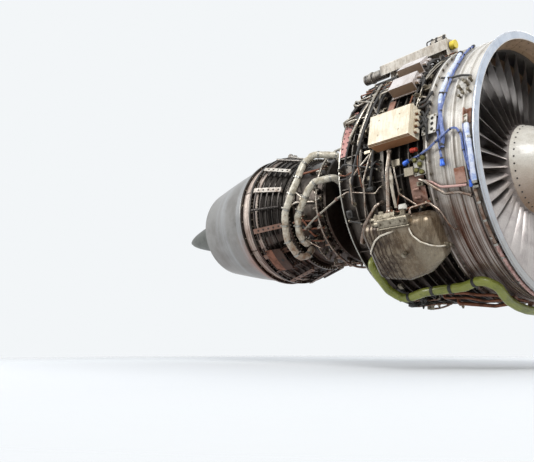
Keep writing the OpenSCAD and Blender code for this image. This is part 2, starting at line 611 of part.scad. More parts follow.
// Hydraulic actuator of the vanes, on a bracket that also carries the crank's post
rod_z = crank_r + 16;
shelf_r = crank_r - 20;
module vsv_actuator() color("lightslategray") clock(crank_clock) {
  difference() {
    translate([0, crank_arm, rod_z]) rod(crank_x - 230, crank_x - 90, 20, $fn = 48);
    translate([0, crank_arm, rod_z]) rod(crank_x - 210, crank_x - 89, 8 + gap, $fn = 48);
  }
  translate([crank_x - 235, crank_arm - 14, shelf_r]) cube([253, 28, 8]);
  for (x = [110, 210]) translate([crank_x - x, crank_arm - 8, shelf_r + 6]) cube([14, 16, rod_z - shelf_r - 22]);
  translate([crank_x - 16, -20, shelf_r]) cube([34, crank_arm + 34, 8]);
  translate([crank_x + 10.5, -20, core_flange_r + gap]) cube([12, crank_arm + 34, shelf_r + 8 - core_flange_r - gap]);
  translate([crank_x, 0, shelf_r + 4]) cylinder(h = crank_r + 16 - shelf_r - 4, r = 6, $fn = 48);
  translate([crank_x, 0, shelf_r + 4]) cylinder(h = crank_r - gap - shelf_r - 4, r = 12, $fn = 48);
}

module vsv_rod() color("silver") clock(crank_clock) translate([0, crank_arm, rod_z]) {
  rod(crank_x - 180, crank_x - 15, 8, $fn = 48);
  translate([crank_x + 11, -13, -6]) cube([8, 26, 16]);
  translate([crank_x - 19, -13, 9]) cube([38, 26, 5]);
  translate([crank_x - 19, -13, -6]) cube([8, 26, 16]);
}

// Combustion case with a pad for each fuel nozzle and two igniter bosses
fuel_x = x_burner - 96;
igniter_x = x_burner - 190;
igniter_clocks = [115, 245];
fuel_bore = 10;
module combustion_case() color("sienna") difference() {
  union() {
    spin([[hpc_rear_inner, x_burner - gap], [burner_flange, x_burner - gap], [burner_flange, x_burner - 12],
          [hpc_rear_inner + 60, x_burner - 14], [burner_r, fuel_x + 40], [burner_r, x_lpt + 60],
          [burner_r + 10, x_lpt + 56], [burner_r + 10, x_lpt + 40], [burner_r, x_lpt + 36],
          [burner_r, x_lpt + 12], [lpt_flange, x_lpt + 12], [lpt_flange, x_lpt + gap],
          [burner_r - 8, x_lpt + gap], [burner_r - 8, fuel_x + 36], [hpc_rear_inner + 50, x_burner - 24],
          [hpc_rear_inner, x_burner - 24]]);
    for (i = [0:nozzle_count - 1]) clock((i + 0.5) * 360 / nozzle_count)
      translate([fuel_x, 0, burner_r - 5]) cylinder(h = 19, r = 26, $fn = 48);
    for (c = igniter_clocks) clock(c) translate([igniter_x, 0, burner_r - 5]) cylinder(h = 29, r = 20, $fn = 48);
  }
  for (i = [0:nozzle_count - 1]) clock((i + 0.5) * 360 / nozzle_count)
    translate([fuel_x, 0, burner_r - 30]) cylinder(h = 60, r = fuel_bore, $fn = 48);
  for (c = igniter_clocks) clock(c) translate([igniter_x, 0, burner_r - 30]) cylinder(h = 60, r = 9, $fn = 48);
}

// Annular burner liner: two walls and a dome with a swirler hole for each fuel nozzle
liner_x = fuel_x - 30;
liner_rear = x_lpt + 90;
liner_out = burner_r - 48;
liner_in = liner_out - 110;
liner_t = 4;
liner_mid = liner_in + 54;
module combustor_liner() color("peru") difference() {
  spin([[liner_out - liner_t, liner_x], [liner_out, liner_x - 30], [liner_out, liner_rear],
        [liner_out - liner_t, liner_rear], [liner_out - liner_t, liner_x - 30], [liner_out - 14, liner_x - 6],
        [liner_in + 12, liner_x - 6], [liner_in, liner_x - 30], [liner_in, liner_rear],
        [liner_in - liner_t, liner_rear], [liner_in - liner_t, liner_x - 30], [liner_in, liner_x]]);
  for (i = [0:nozzle_count - 1]) clock((i + 0.5) * 360 / nozzle_count)
    translate([liner_x - 10, 0, liner_mid]) rod(0, 20, 24, $fn = 48);
}

// Fuel nozzles: flanged head outside the case, stem and tip inside it
manifold_r = burner_r + 62;
module fuel_nozzles() color("silver") {
  for (i = [0:nozzle_count - 1]) clock((i + 0.5) * 360 / nozzle_count) translate([fuel_x, 0, 0]) {
    translate([0, 0, burner_r + 14 + gap]) cylinder(h = 9, r = 22, $fn = 6);
    translate([0, 0, burner_r + 20]) cylinder(h = 26, r = 11, $fn = 32);
    translate([0, 0, liner_mid - 8]) cylinder(h = burner_r + 36 - liner_mid, r = fuel_bore - gap, $fn = 32);
    translate([0, 0, liner_mid]) rod(-34, 8, 14, $fn = 32);
  }
  rotate([0, 90, 0]) translate([0, 0, fuel_x + 44]) rotate_extrude() translate([manifold_r, 0]) circle(r = 9, $fn = 32);
  for (i = [0:nozzle_count - 1]) clock((i + 0.5) * 360 / nozzle_count)
    pipe([[fuel_x + 44, 0, manifold_r], [fuel_x, 0, manifold_r], [fuel_x, 0, burner_r + 46 + gap]], 6, 16);
}

// Nozzle guide vanes ahead of the high-pressure turbine, with its shroud
module turbine_nozzle() color("burlywood") {
  spin([[hpt_tip + 2, hpt_x - 22], [hpt_tip + 10, hpt_x - 22], [hpt_tip + 10, hpt_x + 30],
        [hpt_tip + 36, hpt_x + 50], [burner_r - 8 - gap, liner_rear - 4], [burner_r - 8 - gap, liner_rear + 30],
        [liner_out + gap, liner_rear + 30], [liner_out + gap, liner_rear - 2], [hpt_tip + 2, hpt_x + 40]]);
  ring(hpt_rim - 4, hpt_rim + 4, hpt_x + 22, liner_rear - gap);
  blade_row(row_count, hpt_x + 36, hpt_rim, hpt_tip + 6, 34, 9, -40);
}

// Low-pressure turbine case, flared rearwards, with hook rails
module lpt_case() color("saddlebrown") difference() {
  spin(concat(
    [[lpt_front - 2, x_lpt - gap], [lpt_flange, x_lpt - gap], [lpt_flange, x_lpt - 12],
     [lpt_inner(x_lpt - 14) + 8, x_lpt - 14]],
    [for (t = [0.22, 0.5, 0.78]) for (q = [[0, 7], [10, 4], [10, -4], [0, -7]])
      [lpt_inner(mix(x_lpt, x_rear, t)) + 8 + q.x, mix(x_lpt, x_rear, t) + q.y]],
    [[lpt_rear + 6, x_rear + 12], [scallop_r, x_rear + 12], [scallop_r, x_rear + gap],
     [lpt_rear, x_rear + gap]]));
  flange_holes(core_bolt_count, turbine_bolt_r, x_rear, 14, bolt_d);
}
turbine_bolt_r = (lpt_rear + 6 + scallop_r) / 2;

// Cooling tubes round the turbine case, and the light brackets across them
tube_rows = [for (i = [0:4]) mix(x_lpt, x_rear, 0.26 + 0.15 * i)];
tube_lift = 28;
module lpt_cooling_tubes() color("darkgray") {
  for (x = tube_rows) for (g = [0:5]) clock(g * 60 + 4) rotate([0, 90, 0])
    translate([0, 0, x]) rotate_extrude(angle = 52, start = 180)
      translate([lpt_inner(x) + tube_lift + cooling_r, 0]) circle(r = cooling_r, $fn = 32);
  for (g = [0:5]) clock(g * 60 + 30)
    bar([tube_rows[0] + 30, 0, lpt_inner(tube_rows[0]) + tube_lift + 3 * cooling_r],
        [tube_rows[4] - 12, 0, lpt_inner(tube_rows[4]) + tube_lift + 3 * cooling_r], cooling_r + 3);
}
slope = atan((lpt_rear - lpt_front) / lpt_l);
module tube_brackets() color("gainsboro")
  for (g = [0:5], c = [12, 48]) clock(g * 60 + c)
    translate([tube_rows[2], 0, lpt_inner(tube_rows[2]) + tube_lift + 2 * cooling_r + 1]) rotate([0, slope, 0]) {
      translate([-130, -20, 0]) cube([260, 40, 4]);
      for (x = [-130, 122.5]) translate([x, -14, -tube_lift - 2 * cooling_r + 11]) cube([7, 28, tube_lift + 2 * cooling_r - 9]);
    }

// Turbine rear frame: outer ring, struts, hub and the rear bearing's cone
module turbine_rear_frame() color("dimgray") difference() {
  union() {
    spin([[rear_ring, x_rear - gap], [scallop_r, x_rear - gap], [scallop_r, x_rear - 12],
          [rear_ring + 10, x_rear - 12], [rear_ring + 10, x_nozzle + 12], [rear_flange_r, x_nozzle + 12],
          [rear_flange_r, x_nozzle], [rear_ring, x_nozzle]]);
    spin([[hub_ring - 6, x_rear - 20], [hub_ring + 4, x_rear - 20], [hub_ring + 4, x_nozzle + gap],
          [hub_ring - 30, x_nozzle + gap], [hub_ring - 30, x_nozzle + 8], [hub_ring - 6, x_nozzle + 8]]);
    spin([[hub_ring - 4, x_rear - 40], [hub_ring - 4, x_rear - 48], [bearing_r + 20, x_nozzle + 36],
          [bearing_r + gap, x_nozzle + 36], [bearing_r + gap, x_nozzle + 70], [bearing_r + 12, x_nozzle + 70],
          [bearing_r + 24, x_nozzle + 48]]);
    for (i = [0:strut_count - 1]) clock((i + 0.5) * 360 / strut_count)
      translate([(x_rear + x_nozzle) / 2, 0, hub_ring]) rotate([0, 0, 12])
        linear_extrude(rear_ring + 4 - hub_ring) blade_outline(96, 22);
  }
  flange_holes(core_bolt_count, turbine_bolt_r, x_rear, 14, bolt_d);
  flange_holes(core_bolt_count, rear_bolt_r, x_nozzle, 13, bolt_d);
}
rear_bolt_r = (rear_ring + 10 + rear_flange_r) / 2;

// Rear mount: a saddle between the frame's flanges with a two-eared clevis
module aft_mount() color("dimgray") difference() {
  union() {
    arc_spin([[rear_ring + 10 + gap, x_rear - 24], [rear_ring + 24, x_rear - 24],
              [rear_ring + 24, x_nozzle + 24], [rear_ring + 10 + gap, x_nozzle + 24]], -14, 28);
    for (y = [-34, 20]) translate([(x_rear + x_nozzle) / 2 - 30, y, rear_ring + 18]) cube([60, 14, 50]);
    for (y = [-34, 20]) translate([(x_rear + x_nozzle) / 2, y, rear_ring + 68]) rotate([-90, 0, 0]) cylinder(h = 14, r = 30);
  }
  translate([(x_rear + x_nozzle) / 2, -50, rear_ring + 68]) rotate([-90, 0, 0]) cylinder(h = 100, r = rear_pin_r);
}

// Exhaust nozzle, drawn in rearwards, with a doubler band behind its flange
function nozzle_wall(t) = mix(rear_flange_r - 20, nozzle_exit_r + 5, pow(t, 1.25));
module exhaust_nozzle() color("gray") difference() {
  spin(concat(
    [[rear_flange_r, x_nozzle - gap], [rear_flange_r, x_nozzle - 10], [nozzle_wall(0), x_nozzle - 10],
     [nozzle_wall(0.045), x_nozzle - nozzle_l * 0.045], [nozzle_wall(0.05) + 4, x_nozzle - nozzle_l * 0.05],
     [nozzle_wall(0.13) + 4, x_nozzle - nozzle_l * 0.13], [nozzle_wall(0.135), x_nozzle - nozzle_l * 0.135]],
    [for (t = [0.2:0.1:0.9]) [nozzle_wall(t), x_nozzle - nozzle_l * t]],
    [[nozzle_exit_r + 5, x_exit], [nozzle_exit_r, x_exit]],
    [for (t = [0.9:-0.1:0.1]) [nozzle_wall(t) - 5, x_nozzle - nozzle_l * t]],
    [[rear_ring, x_nozzle - 14], [rear_ring, x_nozzle - gap]]));
  flange_holes(core_bolt_count, rear_bolt_r, x_nozzle, 13, bolt_d);
}

// Exhaust plug: a hollow tail cone with a rounded tip
plug_l = x_nozzle - x_tip;
tip_r = 24;
plug_t = 4;
function plug_wall(s) = plug_r * pow(s, 0.58);
module exhaust_plug() color("dimgray") spin(concat(
  [[hub_ring - 30, x_nozzle], [plug_r, x_nozzle]],
  [for (s = [0.92, 0.82, 0.7, 0.58, 0.46, 0.35, 0.25, 0.17, 0.1, 0.05]) [plug_wall(s), x_tip + plug_l * s]],
  [for (a = [20:14:90]) [tip_r * cos(a), x_tip + tip_r - tip_r * sin(a)]],
  [[0, x_tip], [0, x_tip + plug_t + 2]],
  [for (s = [0.05, 0.1, 0.17, 0.25, 0.35, 0.46, 0.58, 0.7, 0.82, 0.92])
    [plug_wall(s) - plug_t, x_tip + plug_l * s + 2]],
  [[plug_r - 8, x_nozzle - 8], [hub_ring - 30, x_nozzle - 8]]));

module casing_bolts() color("gainsboro") {
  flange_bolts(case_bolt_count, case_bolt_r, x_mid - gap / 2, 2 * flange_t + gap, bolt_d);
  flange_bolts(core_bolt_count, turbine_bolt_r, x_rear, 24, bolt_d);
  flange_bolts(core_bolt_count, rear_bolt_r, x_nozzle + 1, 22 + gap, bolt_d);
}

// Oil tank, kidney-shaped round the lower starboard side of the case
tank_clock = 124.5;
tank_half = 8;
tank_round = 60;
tank_x = x_mid - 10;
tank_l = 370;
tank_floor = case_flange_r + 3;
tank_in = (tank_floor + tank_round) / cos(tank_half);
tank_out = tank_in + 52;
neck = at(tank_x - 145, tank_clock - tank_half, tank_out);
neck_top = neck.z + tank_round + 62;
// Corners of the tank: how far behind its front, and the clock from its middle
tank_corners = [[0, -tank_half], [tank_l, -tank_half], [0, 2.5], [90, 6], [220, tank_half], [tank_l, 6.5]];
module oil_tank() color("#6e5a48") {
  hull() {
    for (q = tank_corners, r = [tank_in, tank_out])
      translate(at(tank_x - q.x, tank_clock + q.y, r)) sphere(r = tank_round, $fn = 24);
    for (x = [30, tank_l - 40]) translate(at(tank_x - x, tank_clock - 1, tank_out + 14)) sphere(r = tank_round, $fn = 24);
  }
  translate(neck) cylinder(h = neck_top - neck.z, r = 18, $fn = 48);
  translate([neck.x - 190, neck.y - 30, neck.z + tank_round - 18]) cube([150, 64, 56]);
  translate([neck.x - 155, neck.y, neck.z + tank_round + 30]) cylinder(h = 26, r = 17, $fn = 6);
  clock(tank_clock - 0.5) translate([tank_x - 142, 0, tank_out + tank_round]) cylinder(h = 32, r = 16, $fn = 48);
  clock(tank_clock + 1) translate([0, 0, tank_in + 20])
    rod(tank_x + tank_round - 12, tank_x + tank_round + 18, 15, $fn = 48);
  for (c = [-6, 1]) feet(tank_clock + c, x_mid + mid_ribs[0], x_mid + mid_ribs[3], 5, tank_floor + 25);
}

module oil_filler_cap() color("white") translate([neck.x, neck.y, neck_top]) difference() {
  union() {
    translate([0, 0, -16]) cylinder(h = 24, r = 25, $fn = 48);
    translate([-20, -4, 7]) cube([40, 8, 9]);
  }
  translate([0, 0, -17]) cylinder(h = 17 + gap, r = 18 + gap, $fn = 48);
}

// Boxes of electrics on feet over the middle case's ribs
module feet(c, x1, x2, y, top) clock(c)
  for (x = [x1, x2], s = [-1, 1]) translate([x - 9, s * y - 9, mid_rib_r + gap])
    cube([18, 18, top - mid_rib_r - gap]);
box_floor = mid_rib_r + 18;
control_clock = 79;
control_x = x_mid - 42;
module control_box() color("blanchedalmond") {
  clock(control_clock) difference() {
    union() {
      translate([control_x - control_l, -control_w / 2, box_floor]) cube([control_l, control_w, control_h - 8]);
      translate([control_x - control_l - 4, -control_w / 2 - 4, box_floor + control_h - 22])
        cube([control_l + 8, control_w + 8, 5]);
      translate([control_x - control_l + 3, -control_w / 2 + 3, box_floor + control_h - 12])
        cube([control_l - 6, control_w - 6, 12]);
      for (y = [-60, -20, 20, 60]) translate([control_x - 2, y, box_floor + 45]) rod(0, 22, 15, $fn = 32);
    }
    for (x = [0.25, 0.75], y = [-0.25, 0.25]) translate([control_x - control_l * x, control_w * y, box_floor + control_h - 2])
      cylinder(h = 10, r = 6, $fn = 32);
  }
  feet(control_clock, x_mid + mid_ribs[1], x_mid + mid_ribs[3], 5, box_floor + 4);
}

exciter_clocks = [56, 41];
exciter_x = [x_mid - 112, x_mid - 150];
exciter_w = 108;
exciter_h = 70;
module exciter_boxes() color("lightgray") for (i = [0, 1]) {
  clock(exciter_clocks[i]) {
    translate([exciter_x[i] - exciter_l, -exciter_w / 2, box_floor]) cube([exciter_l, exciter_w, exciter_h]);
    translate([exciter_x[i] - exciter_l - 8, -exciter_w / 2 - 8, box_floor]) cube([exciter_l + 16, exciter_w + 16, 5]);
    for (y = [-26, 26]) translate([exciter_x[i] - 2, y, box_floor + 38]) rod(0, 28, 16, $fn = 32);
    translate([exciter_x[i] - exciter_l - 16, 0, box_floor + 38]) rod(0, 20, 13, $fn = 32);
  }
  feet(exciter_clocks[i], x_mid + mid_ribs[2], x_mid + mid_ribs[3], 5, box_floor + 3);
}

// High-tension leads from the exciters back to the two igniters
lead_r = 7;
module igniter(c) clock(c) translate([igniter_x, 0, 0]) {
  translate([0, 0, burner_r - 44]) cylinder(h = 84, r = 8, $fn = 32);
  translate([0, 0, burner_r + 24 + gap]) cylinder(h = 16, r = 15, $fn = 6);
  translate([0, 0, burner_r + 36]) cylinder(h = 40, r = 11, $fn = 32);
}
lead_top = burner_r + 96;
lead_floor = frame_r + lead_r + 5;
module ignition_leads() color("silver") {
  lead_start = [for (i = [0, 1]) exciter_x[i] - exciter_l - 16 - gap];
  routed([[lead_start[0], exciter_clocks[0], box_floor + 38], [x_frame - 60, exciter_clocks[0], box_floor + 38],
          [x_frame - 100, exciter_clocks[0] + 2, lead_floor], [x_hpc - 30, exciter_clocks[0] + 6, lead_floor],
          [x_hpc - 70, exciter_clocks[0] + 10, lead_top + 60], [x_hpc - 150, 90, lead_top],
          [x_burner - 60, 108, lead_top], [igniter_x, igniter_clocks[0], lead_top],
          [igniter_x, igniter_clocks[0], burner_r + 70]], lead_r, 40);
  routed([[lead_start[1], exciter_clocks[1], box_floor + 38], [x_frame - 40, exciter_clocks[1], box_floor + 38],
          [x_frame - 90, exciter_clocks[1] - 4, lead_floor], [x_hpc - 30, exciter_clocks[1] - 6, lead_floor],
          [x_hpc - 80, 20, lead_top + 60], [x_hpc - 160, -20, lead_top], [x_hpc - 240, -52, lead_top],
          [x_burner - 20, -92, lead_top], [igniter_x, igniter_clocks[1] - 360, lead_top],
          [igniter_x, igniter_clocks[1] - 360, burner_r + 70]], lead_r, 40);
  for (c = igniter_clocks) igniter(c);
}

// Beam along the crown, an inverted channel on three posts, with valves on its front end
beam_clock = 12;
beam_z = frame_r + 100;
beam_front = x_mid - 190;
beam_rear = x_hpc - 60;
module crown_beam() color("#b8ab96") clock(beam_clock) {
  along(beam_rear, beam_front) polygon([[-70, beam_z], [-70, beam_z + 68], [-62, beam_z + 74], [62, beam_z + 74],
    [70, beam_z + 68], [70, beam_z], [63, beam_z], [63, beam_z + 64], [-63, beam_z + 64], [-63, beam_z]]);
  translate([beam_front - 2, -70, beam_z - 34]) cube([6, 140, 108]);
  for (q = [[x_mid + mid_ribs[3], mid_rib_r], [x_frame + frame_ribs[2], frame_r], [x_hpc + 8, frame_r]])
    translate([q.x - 14, -26, q.y + gap]) cube([28, 52, beam_z + 66 - q.y - gap]);
  translate([beam_front - 120, -48, beam_z + 70]) cube([90, 66, 30]);
  translate([beam_front - 60, 34, beam_z + 70]) cylinder(h = 44, r = 18, $fn = 32);
  translate([beam_front - 118, 40, beam_z + 70]) cylinder(h = 30, r = 14, $fn = 32);
  translate([beam_front - 76, -15, beam_z + 96]) cylinder(h = 18, r = 20, $fn = 6);
  translate([0, -20, beam_z + 112]) rod(beam_front - 130, beam_front - 20, 9, $fn = 32);
  translate([0, -20, beam_z + 26]) rod(beam_front, beam_front + 26, 24, $fn = 48);
  translate([0, 0, beam_z + 30]) rod(beam_rear - 190, beam_rear + 8, 40, $fn = 48);
  translate([0, 0, beam_z + 30]) rod(beam_rear - 130, beam_rear - 116, 46, $fn = 48);
}

module crown_cap() color("gold") clock(beam_clock) translate([0, -20, beam_z + 26]) difference() {
  rod(beam_front + 12, beam_front + 46, 30, $fn = 48);
  rod(beam_front + 4, beam_front + 26 + gap, 24 + gap, $fn = 48);
}

// Blue wiring harness over the front barrel
wire_r = 7;
wire_top = barrel_r + 10 + wire_r + 3.5;
module harness() color("steelblue") {
  routed([[x_mid + 100, 30, wire_top], [x_mid + 128, 48, wire_top], [x_mid + 118, 64, wire_top],
          [x_mid + 100, 74, wire_top], [x_mid + 82, 84, wire_top], [x_mid + 100, 96, wire_top]], wire_r, 60);
  routed([[x_mid - 90, 93, case_flange_r + 12], [x_mid - 30, 92, case_flange_r + 12],
          [x_mid + 40, 90, case_flange_r + 10], [x_mid + 118, 87, wire_top + 16],
          [x_mid + 190, 84, wire_top + 2], [x_mid + 228, 88, wire_top], [x_mid + 236, 94, wire_top],
          [x_mid + 270, 108, wire_top]], wire_r, 50);
  for (q = [[100, 30], [100, 96], [270, 108]])
    translate(at(x_mid + q.x, q.y, wire_top)) sphere(r = wire_r + 3, $fn = 32);
}

// Oil, fuel and air pipes over the starboard side of the cases
plate_floor = mid_rib_r + gap;
tank_box_top = neck.z + tank_round + 38;
neck_seat = neck.z + tank_round / sin(tank_clock - tank_half);
module case_pipes() color("antiquewhite") {
  routed([[x_mid - 60, 101, plate_floor + 6 + gap], [x_mid - 60, 101, case_flange_r + 12], [x_mid - 20, 102, case_flange_r + 18],
          [x_mid + 30, 105, case_flange_r + 16], [x_mid + 90, 108.5, case_flange_r + 8],
          [x_mid + 170, 109, barrel_r + 24], [x_mid + 240, 111, barrel_r + 22]], 8, 30);
  pipe([at(x_mid - 234, 87.2, box_floor + 30), at(x_mid - 234, 91, tank_floor + 30),
        at(x_mid - 242, 95, tank_floor + 40),
        [neck.x - 100, neck.y - 2, tank_box_top + 80], [neck.x - 100, neck.y - 2, tank_box_top + gap]], 12, 40);
  routed([[x_frame - 30, 107, mid_rib_r + gap + 2], [x_frame - 30, 107, tank_floor + 30],
          [x_frame - 160, 114, tank_floor + 30], [x_frame - 250, 122, tank_floor + 20],
          [x_frame - 250, 122, frame_r + gap]], 12, 40);
  routed([[x_frame - 170, 57, frame_r + gap], [x_frame - 170, 57, frame_r + 40], [x_frame - 208, 69, frame_r + 44],
          [x_frame - 250, 76, frame_r + 40], [x_frame - 250, 76, frame_r + gap]], 9, 30);
  routed([[x_frame - 170, 42, frame_r + gap], [x_frame - 170, 42, frame_r + 40], [x_frame - 130, 52, frame_r + 50],
          [x_frame - 130, 66, frame_r + 50], [x_frame - 170, 80, frame_r + 40], [x_frame - 170, 80, frame_r + gap]], 9, 30);
  pipe([[neck.x + 48, neck.y, neck_seat + 4], [neck.x + 48, neck.y, neck_seat + 38],
        at(x_mid + 20, tank_clock - 14.5, tank_in + 8), at(x_mid + 78, tank_clock - 11, tank_in + 10),
        at(x_mid + 95, tank_clock - 5, tank_in - 10), at(x_mid + 95, tank_clock - 2, tank_in - 50),
        at(x_mid + 95, tank_clock - 2, barrel_r + 10 + gap)], 6, 30);
}

// Small curved brackets on the ribs, and saddles under the starter's air duct
module saddle(x, c, r1, r2, w) clock(c) translate([x - w / 2, -w / 2, r1 + gap]) cube([w, w, r2 - r1 - gap]);
belly_r = case_flange_r + air_duct_r + 10;
belly_x = x_mid + 140;
module case_brackets() color("rosybrown") {
  plate_r = barrel_r + 10 + gap;
  for (c = [165, 179, 193]) saddle(belly_x, c, barrel_r + 10, belly_r - air_duct_r - 2.6, 30);
  arc_spin([[plate_r, x_mid + 160], [plate_r + 5, x_mid + 160], [plate_r + 5, x_mid + 224], [plate_r, x_mid + 224]], 100, 6);
  arc_spin([[barrel_r + gap, x_mid + 244], [plate_r + 20, x_mid + 244], [plate_r + 20, x_mid + 250],
            [barrel_r + 6, x_mid + 250], [barrel_r + 6, x_mid + 280], [barrel_r + gap, x_mid + 280]], 78, 6);
  arc_spin([[plate_floor, x_mid - 140], [plate_floor + 6, x_mid - 140], [plate_floor + 6, x_mid - 42],
            [plate_floor, x_mid - 42]], 98, 14);
  for (c = [104.5, 108, 111.5]) clock(c) translate([x_mid - 92, 0, plate_floor + 12]) rod(-24, 14, 9, $fn = 32);
  arc_spin([[plate_floor, x_frame + 6], [plate_floor + 8, x_frame + 6], [plate_floor + 8, x_frame + 50],
            [plate_floor, x_frame + 50]], 60, 22);
}

// Air duct to the starter: down the starboard side, under the tank, round the belly and up to port
duct_foot = x_frame + frame_ribs[2];
module starter_duct() color("olivedrab") routed([
  [duct_foot, 132, frame_r + gap], [duct_foot, 132, frame_r + 60], [duct_foot + 18, 146, frame_r + 80],
  [duct_foot + 70, 153, frame_r + 84], [x_frame + 20, 149, belly_r + 10], [x_mid - 30, 148, belly_r + 6],
  [x_mid + 100, 145, belly_r], [belly_x + 25, 150, belly_r], [belly_x, 161, belly_r],
  [belly_x, 196, belly_r], [belly_x + 20, 206, belly_r], [belly_x + 50, 220, belly_r + 10],
  [belly_x + 75, 236, pad_r], [belly_x + 65, starter_clock, pad_r],
  [starter_front + gap, starter_clock, pad_r]], air_duct_r, 70);

// Two bleed-air ducts from the compressor case over the burner
bleed_top = lpt_rear + 70;
bleed_low = manifold_r + 48;
bleed_x = x_burner + 80;
module bleed_ducts() color("antiquewhite") {
  routed([[bleed_x, 50, hpc_outer(bleed_x + bleed_r) + gap], [bleed_x, 50, bleed_top - 100], [x_burner - 60, 56, bleed_top],
          [x_burner - 130, 63, bleed_top], [x_burner - 150, 76, bleed_top], [x_burner - 220, 90, bleed_top],
          [x_lpt + 115, 100, bleed_top], [x_lpt + 70, 119, bleed_top], [x_lpt + 80, 136, bleed_top - 20],
          [x_lpt + 90, 141, burner_r + 90], [x_lpt + 90, 141, burner_r + gap]], bleed_r, 70);
  routed([[bleed_x, 72, hpc_outer(bleed_x + bleed_r) + gap], [bleed_x, 72, bleed_low - 80], [x_burner - 30, 78, bleed_low],
          [x_burner - 90, 84, bleed_low], [x_burner - 150, 94, bleed_low], [x_lpt + 180, 104, bleed_low],
          [x_lpt + 150, 118, bleed_low], [x_lpt + 150, 129, bleed_low - 20], [x_lpt + 150, 129, burner_r + gap]],
         bleed_r, 50);
}

// Accessory gearbox, curved round the port side of the fan case
starter_clock = 242;
pump_clock = 265;
generator_clock = 288;
drive_gap = 1.2;
module accessory_gearbox() color("darkgray") {
  split = (gear_front + gear_rear) / 2;
  difference() {
    union() {
      arc_spin([[gear_in, gear_rear + 3], [gear_out, gear_rear + 3], [gear_out, split - 5], [gear_out + 9, split - 5],
                [gear_out + 9, split + 5], [gear_out, split + 5], [gear_out, gear_front], [gear_in, gear_front]], 234, 62);
      for (c = [starter_clock, pump_clock, generator_clock]) clock(c) translate([0, 0, pad_r])
        rod(gear_rear, gear_front + 6, 70);
      for (c = [253.5, 276.5]) clock(c) translate([0, 0, gear_out - 30]) rod(gear_front - 2, gear_front + 9, 24, $fn = 48);
    }
    clock(drive_clock) translate([0, 0, drive_r]) rod(gear_rear - 1, gear_rear + 70, radial_bore);
  }
  for (c = [246, 264, 282]) feet(c, x_mid + mid_ribs[1], x_mid + mid_ribs[2], 5, gear_in + 6);
}

starter_front = gear_front + 206;
module starter() color("slategray") clock(starter_clock) translate([0, 0, pad_r]) {
  rod(gear_front + 6 + gap, gear_front + 20, 64);
  rod(gear_front + 20, gear_front + 100, 58);
  rod(gear_front + 100, gear_front + 108, 66);
  rod(gear_front + 108, gear_front + 176, 62);
  translate([gear_front + 176, 0, 0]) rotate([0, 90, 0]) cylinder(h = 30, r1 = 50, r2 = air_duct_r + 6);
}

module generator() color("darkslategray") clock(generator_clock) translate([0, 0, pad_r]) {
  rod(gear_front + 6 + gap, gear_front + 18, 68);
  rod(gear_front + 18, gear_front + 150, 60);
  for (i = [0:5]) rod(gear_front + 40 + i * 17, gear_front + 46 + i * 17, 66);
  rod(gear_front + 150, gear_front + 168, 46);
  translate([gear_front + 40, -36, 50]) cube([70, 72, 34]);
}

module hydraulic_pump() color("gray") clock(pump_clock) translate([0, 0, pad_r]) {
  rod(gear_front + 6 + gap, gear_front + 18, 58);
  rod(gear_front + 18, gear_front + 96, 42);
  rod(gear_front + 96, gear_front + 128, 50);
  for (y = [-18, 18]) translate([gear_front + 112, y, 40]) cylinder(h = 34, r = 12, $fn = 32);
}

// Fuel pump with the control behind it; its two levers swing over the top face
control_top = pad_r + 66;
control_rear = gear_rear - 250;
power_at = [gear_rear - 150, 42];
shutoff_at = [gear_rear - 205, -42];
spindle_r = 7;
module fuel_control() color("silver") clock(pump_clock) {
  difference() {
    union() {
      translate([0, 0, pad_r]) {
        rod(gear_rear - gap, gear_rear - 14, 66);
        rod(gear_rear - 14, gear_rear - 110, 56);
      }
      translate([control_rear, -76, pad_r - 60]) cube([150, 152, control_top - pad_r + 60]);
      translate([control_rear + 12, -40, pad_r - 70]) cube([110, 80, 14]);
      for (q = [power_at, shutoff_at]) translate([q.x, q.y, control_top - 4]) cylinder(h = 10, r = 15, $fn = 48);
    }
    for (q = [power_at, shutoff_at]) translate([q.x, q.y, control_top - 24]) cylinder(h = 40, r = spindle_r + gap, $fn = 48);
  }
  for (y = [-52, 52]) translate([0, y, pad_r - 20]) rod(control_rear + 2, control_rear - 26, 13, $fn = 32);
}

module lever(q, reach, from) clock(pump_clock) translate([q.x, q.y, control_top]) {
  translate([0, 0, -20]) cylinder(h = 34, r = spindle_r, $fn = 48);
  translate([0, 0, 7]) rotate([0, 0, from]) difference() {
    linear_extrude(6) union() {
      circle(r = 13, $fn = 48);
      polygon([[0, -10], [reach, -7], [reach, 7], [0, 10]]);
      translate([reach, 0]) circle(r = 9, $fn = 32);
    }
    translate([reach, 0, -1]) cylinder(h = 8, r = 4, $fn = 32);
  }
}
module power_lever() color("goldenrod") lever(power_at, 58, 30);
module shutoff_lever() color("goldenrod") lever(shutoff_at, 52, 232);

module lube_unit() color("gray") clock(generator_clock) translate([0, 0, pad_r]) {
  rod(gear_rear - gap, gear_rear - 12, 62);
  rod(gear_rear - 12, gear_rear - 120, 48);
  translate([gear_rear - 108, -70, -34]) cube([88, 140, 40]);
  for (y = [-46, 46]) translate([0, y, 0]) {
    rod(gear_rear - 20, gear_rear - 150, 24, $fn = 48);
    rod(gear_rear - 150, gear_rear - 158, 17, $fn = 6);
  }
}

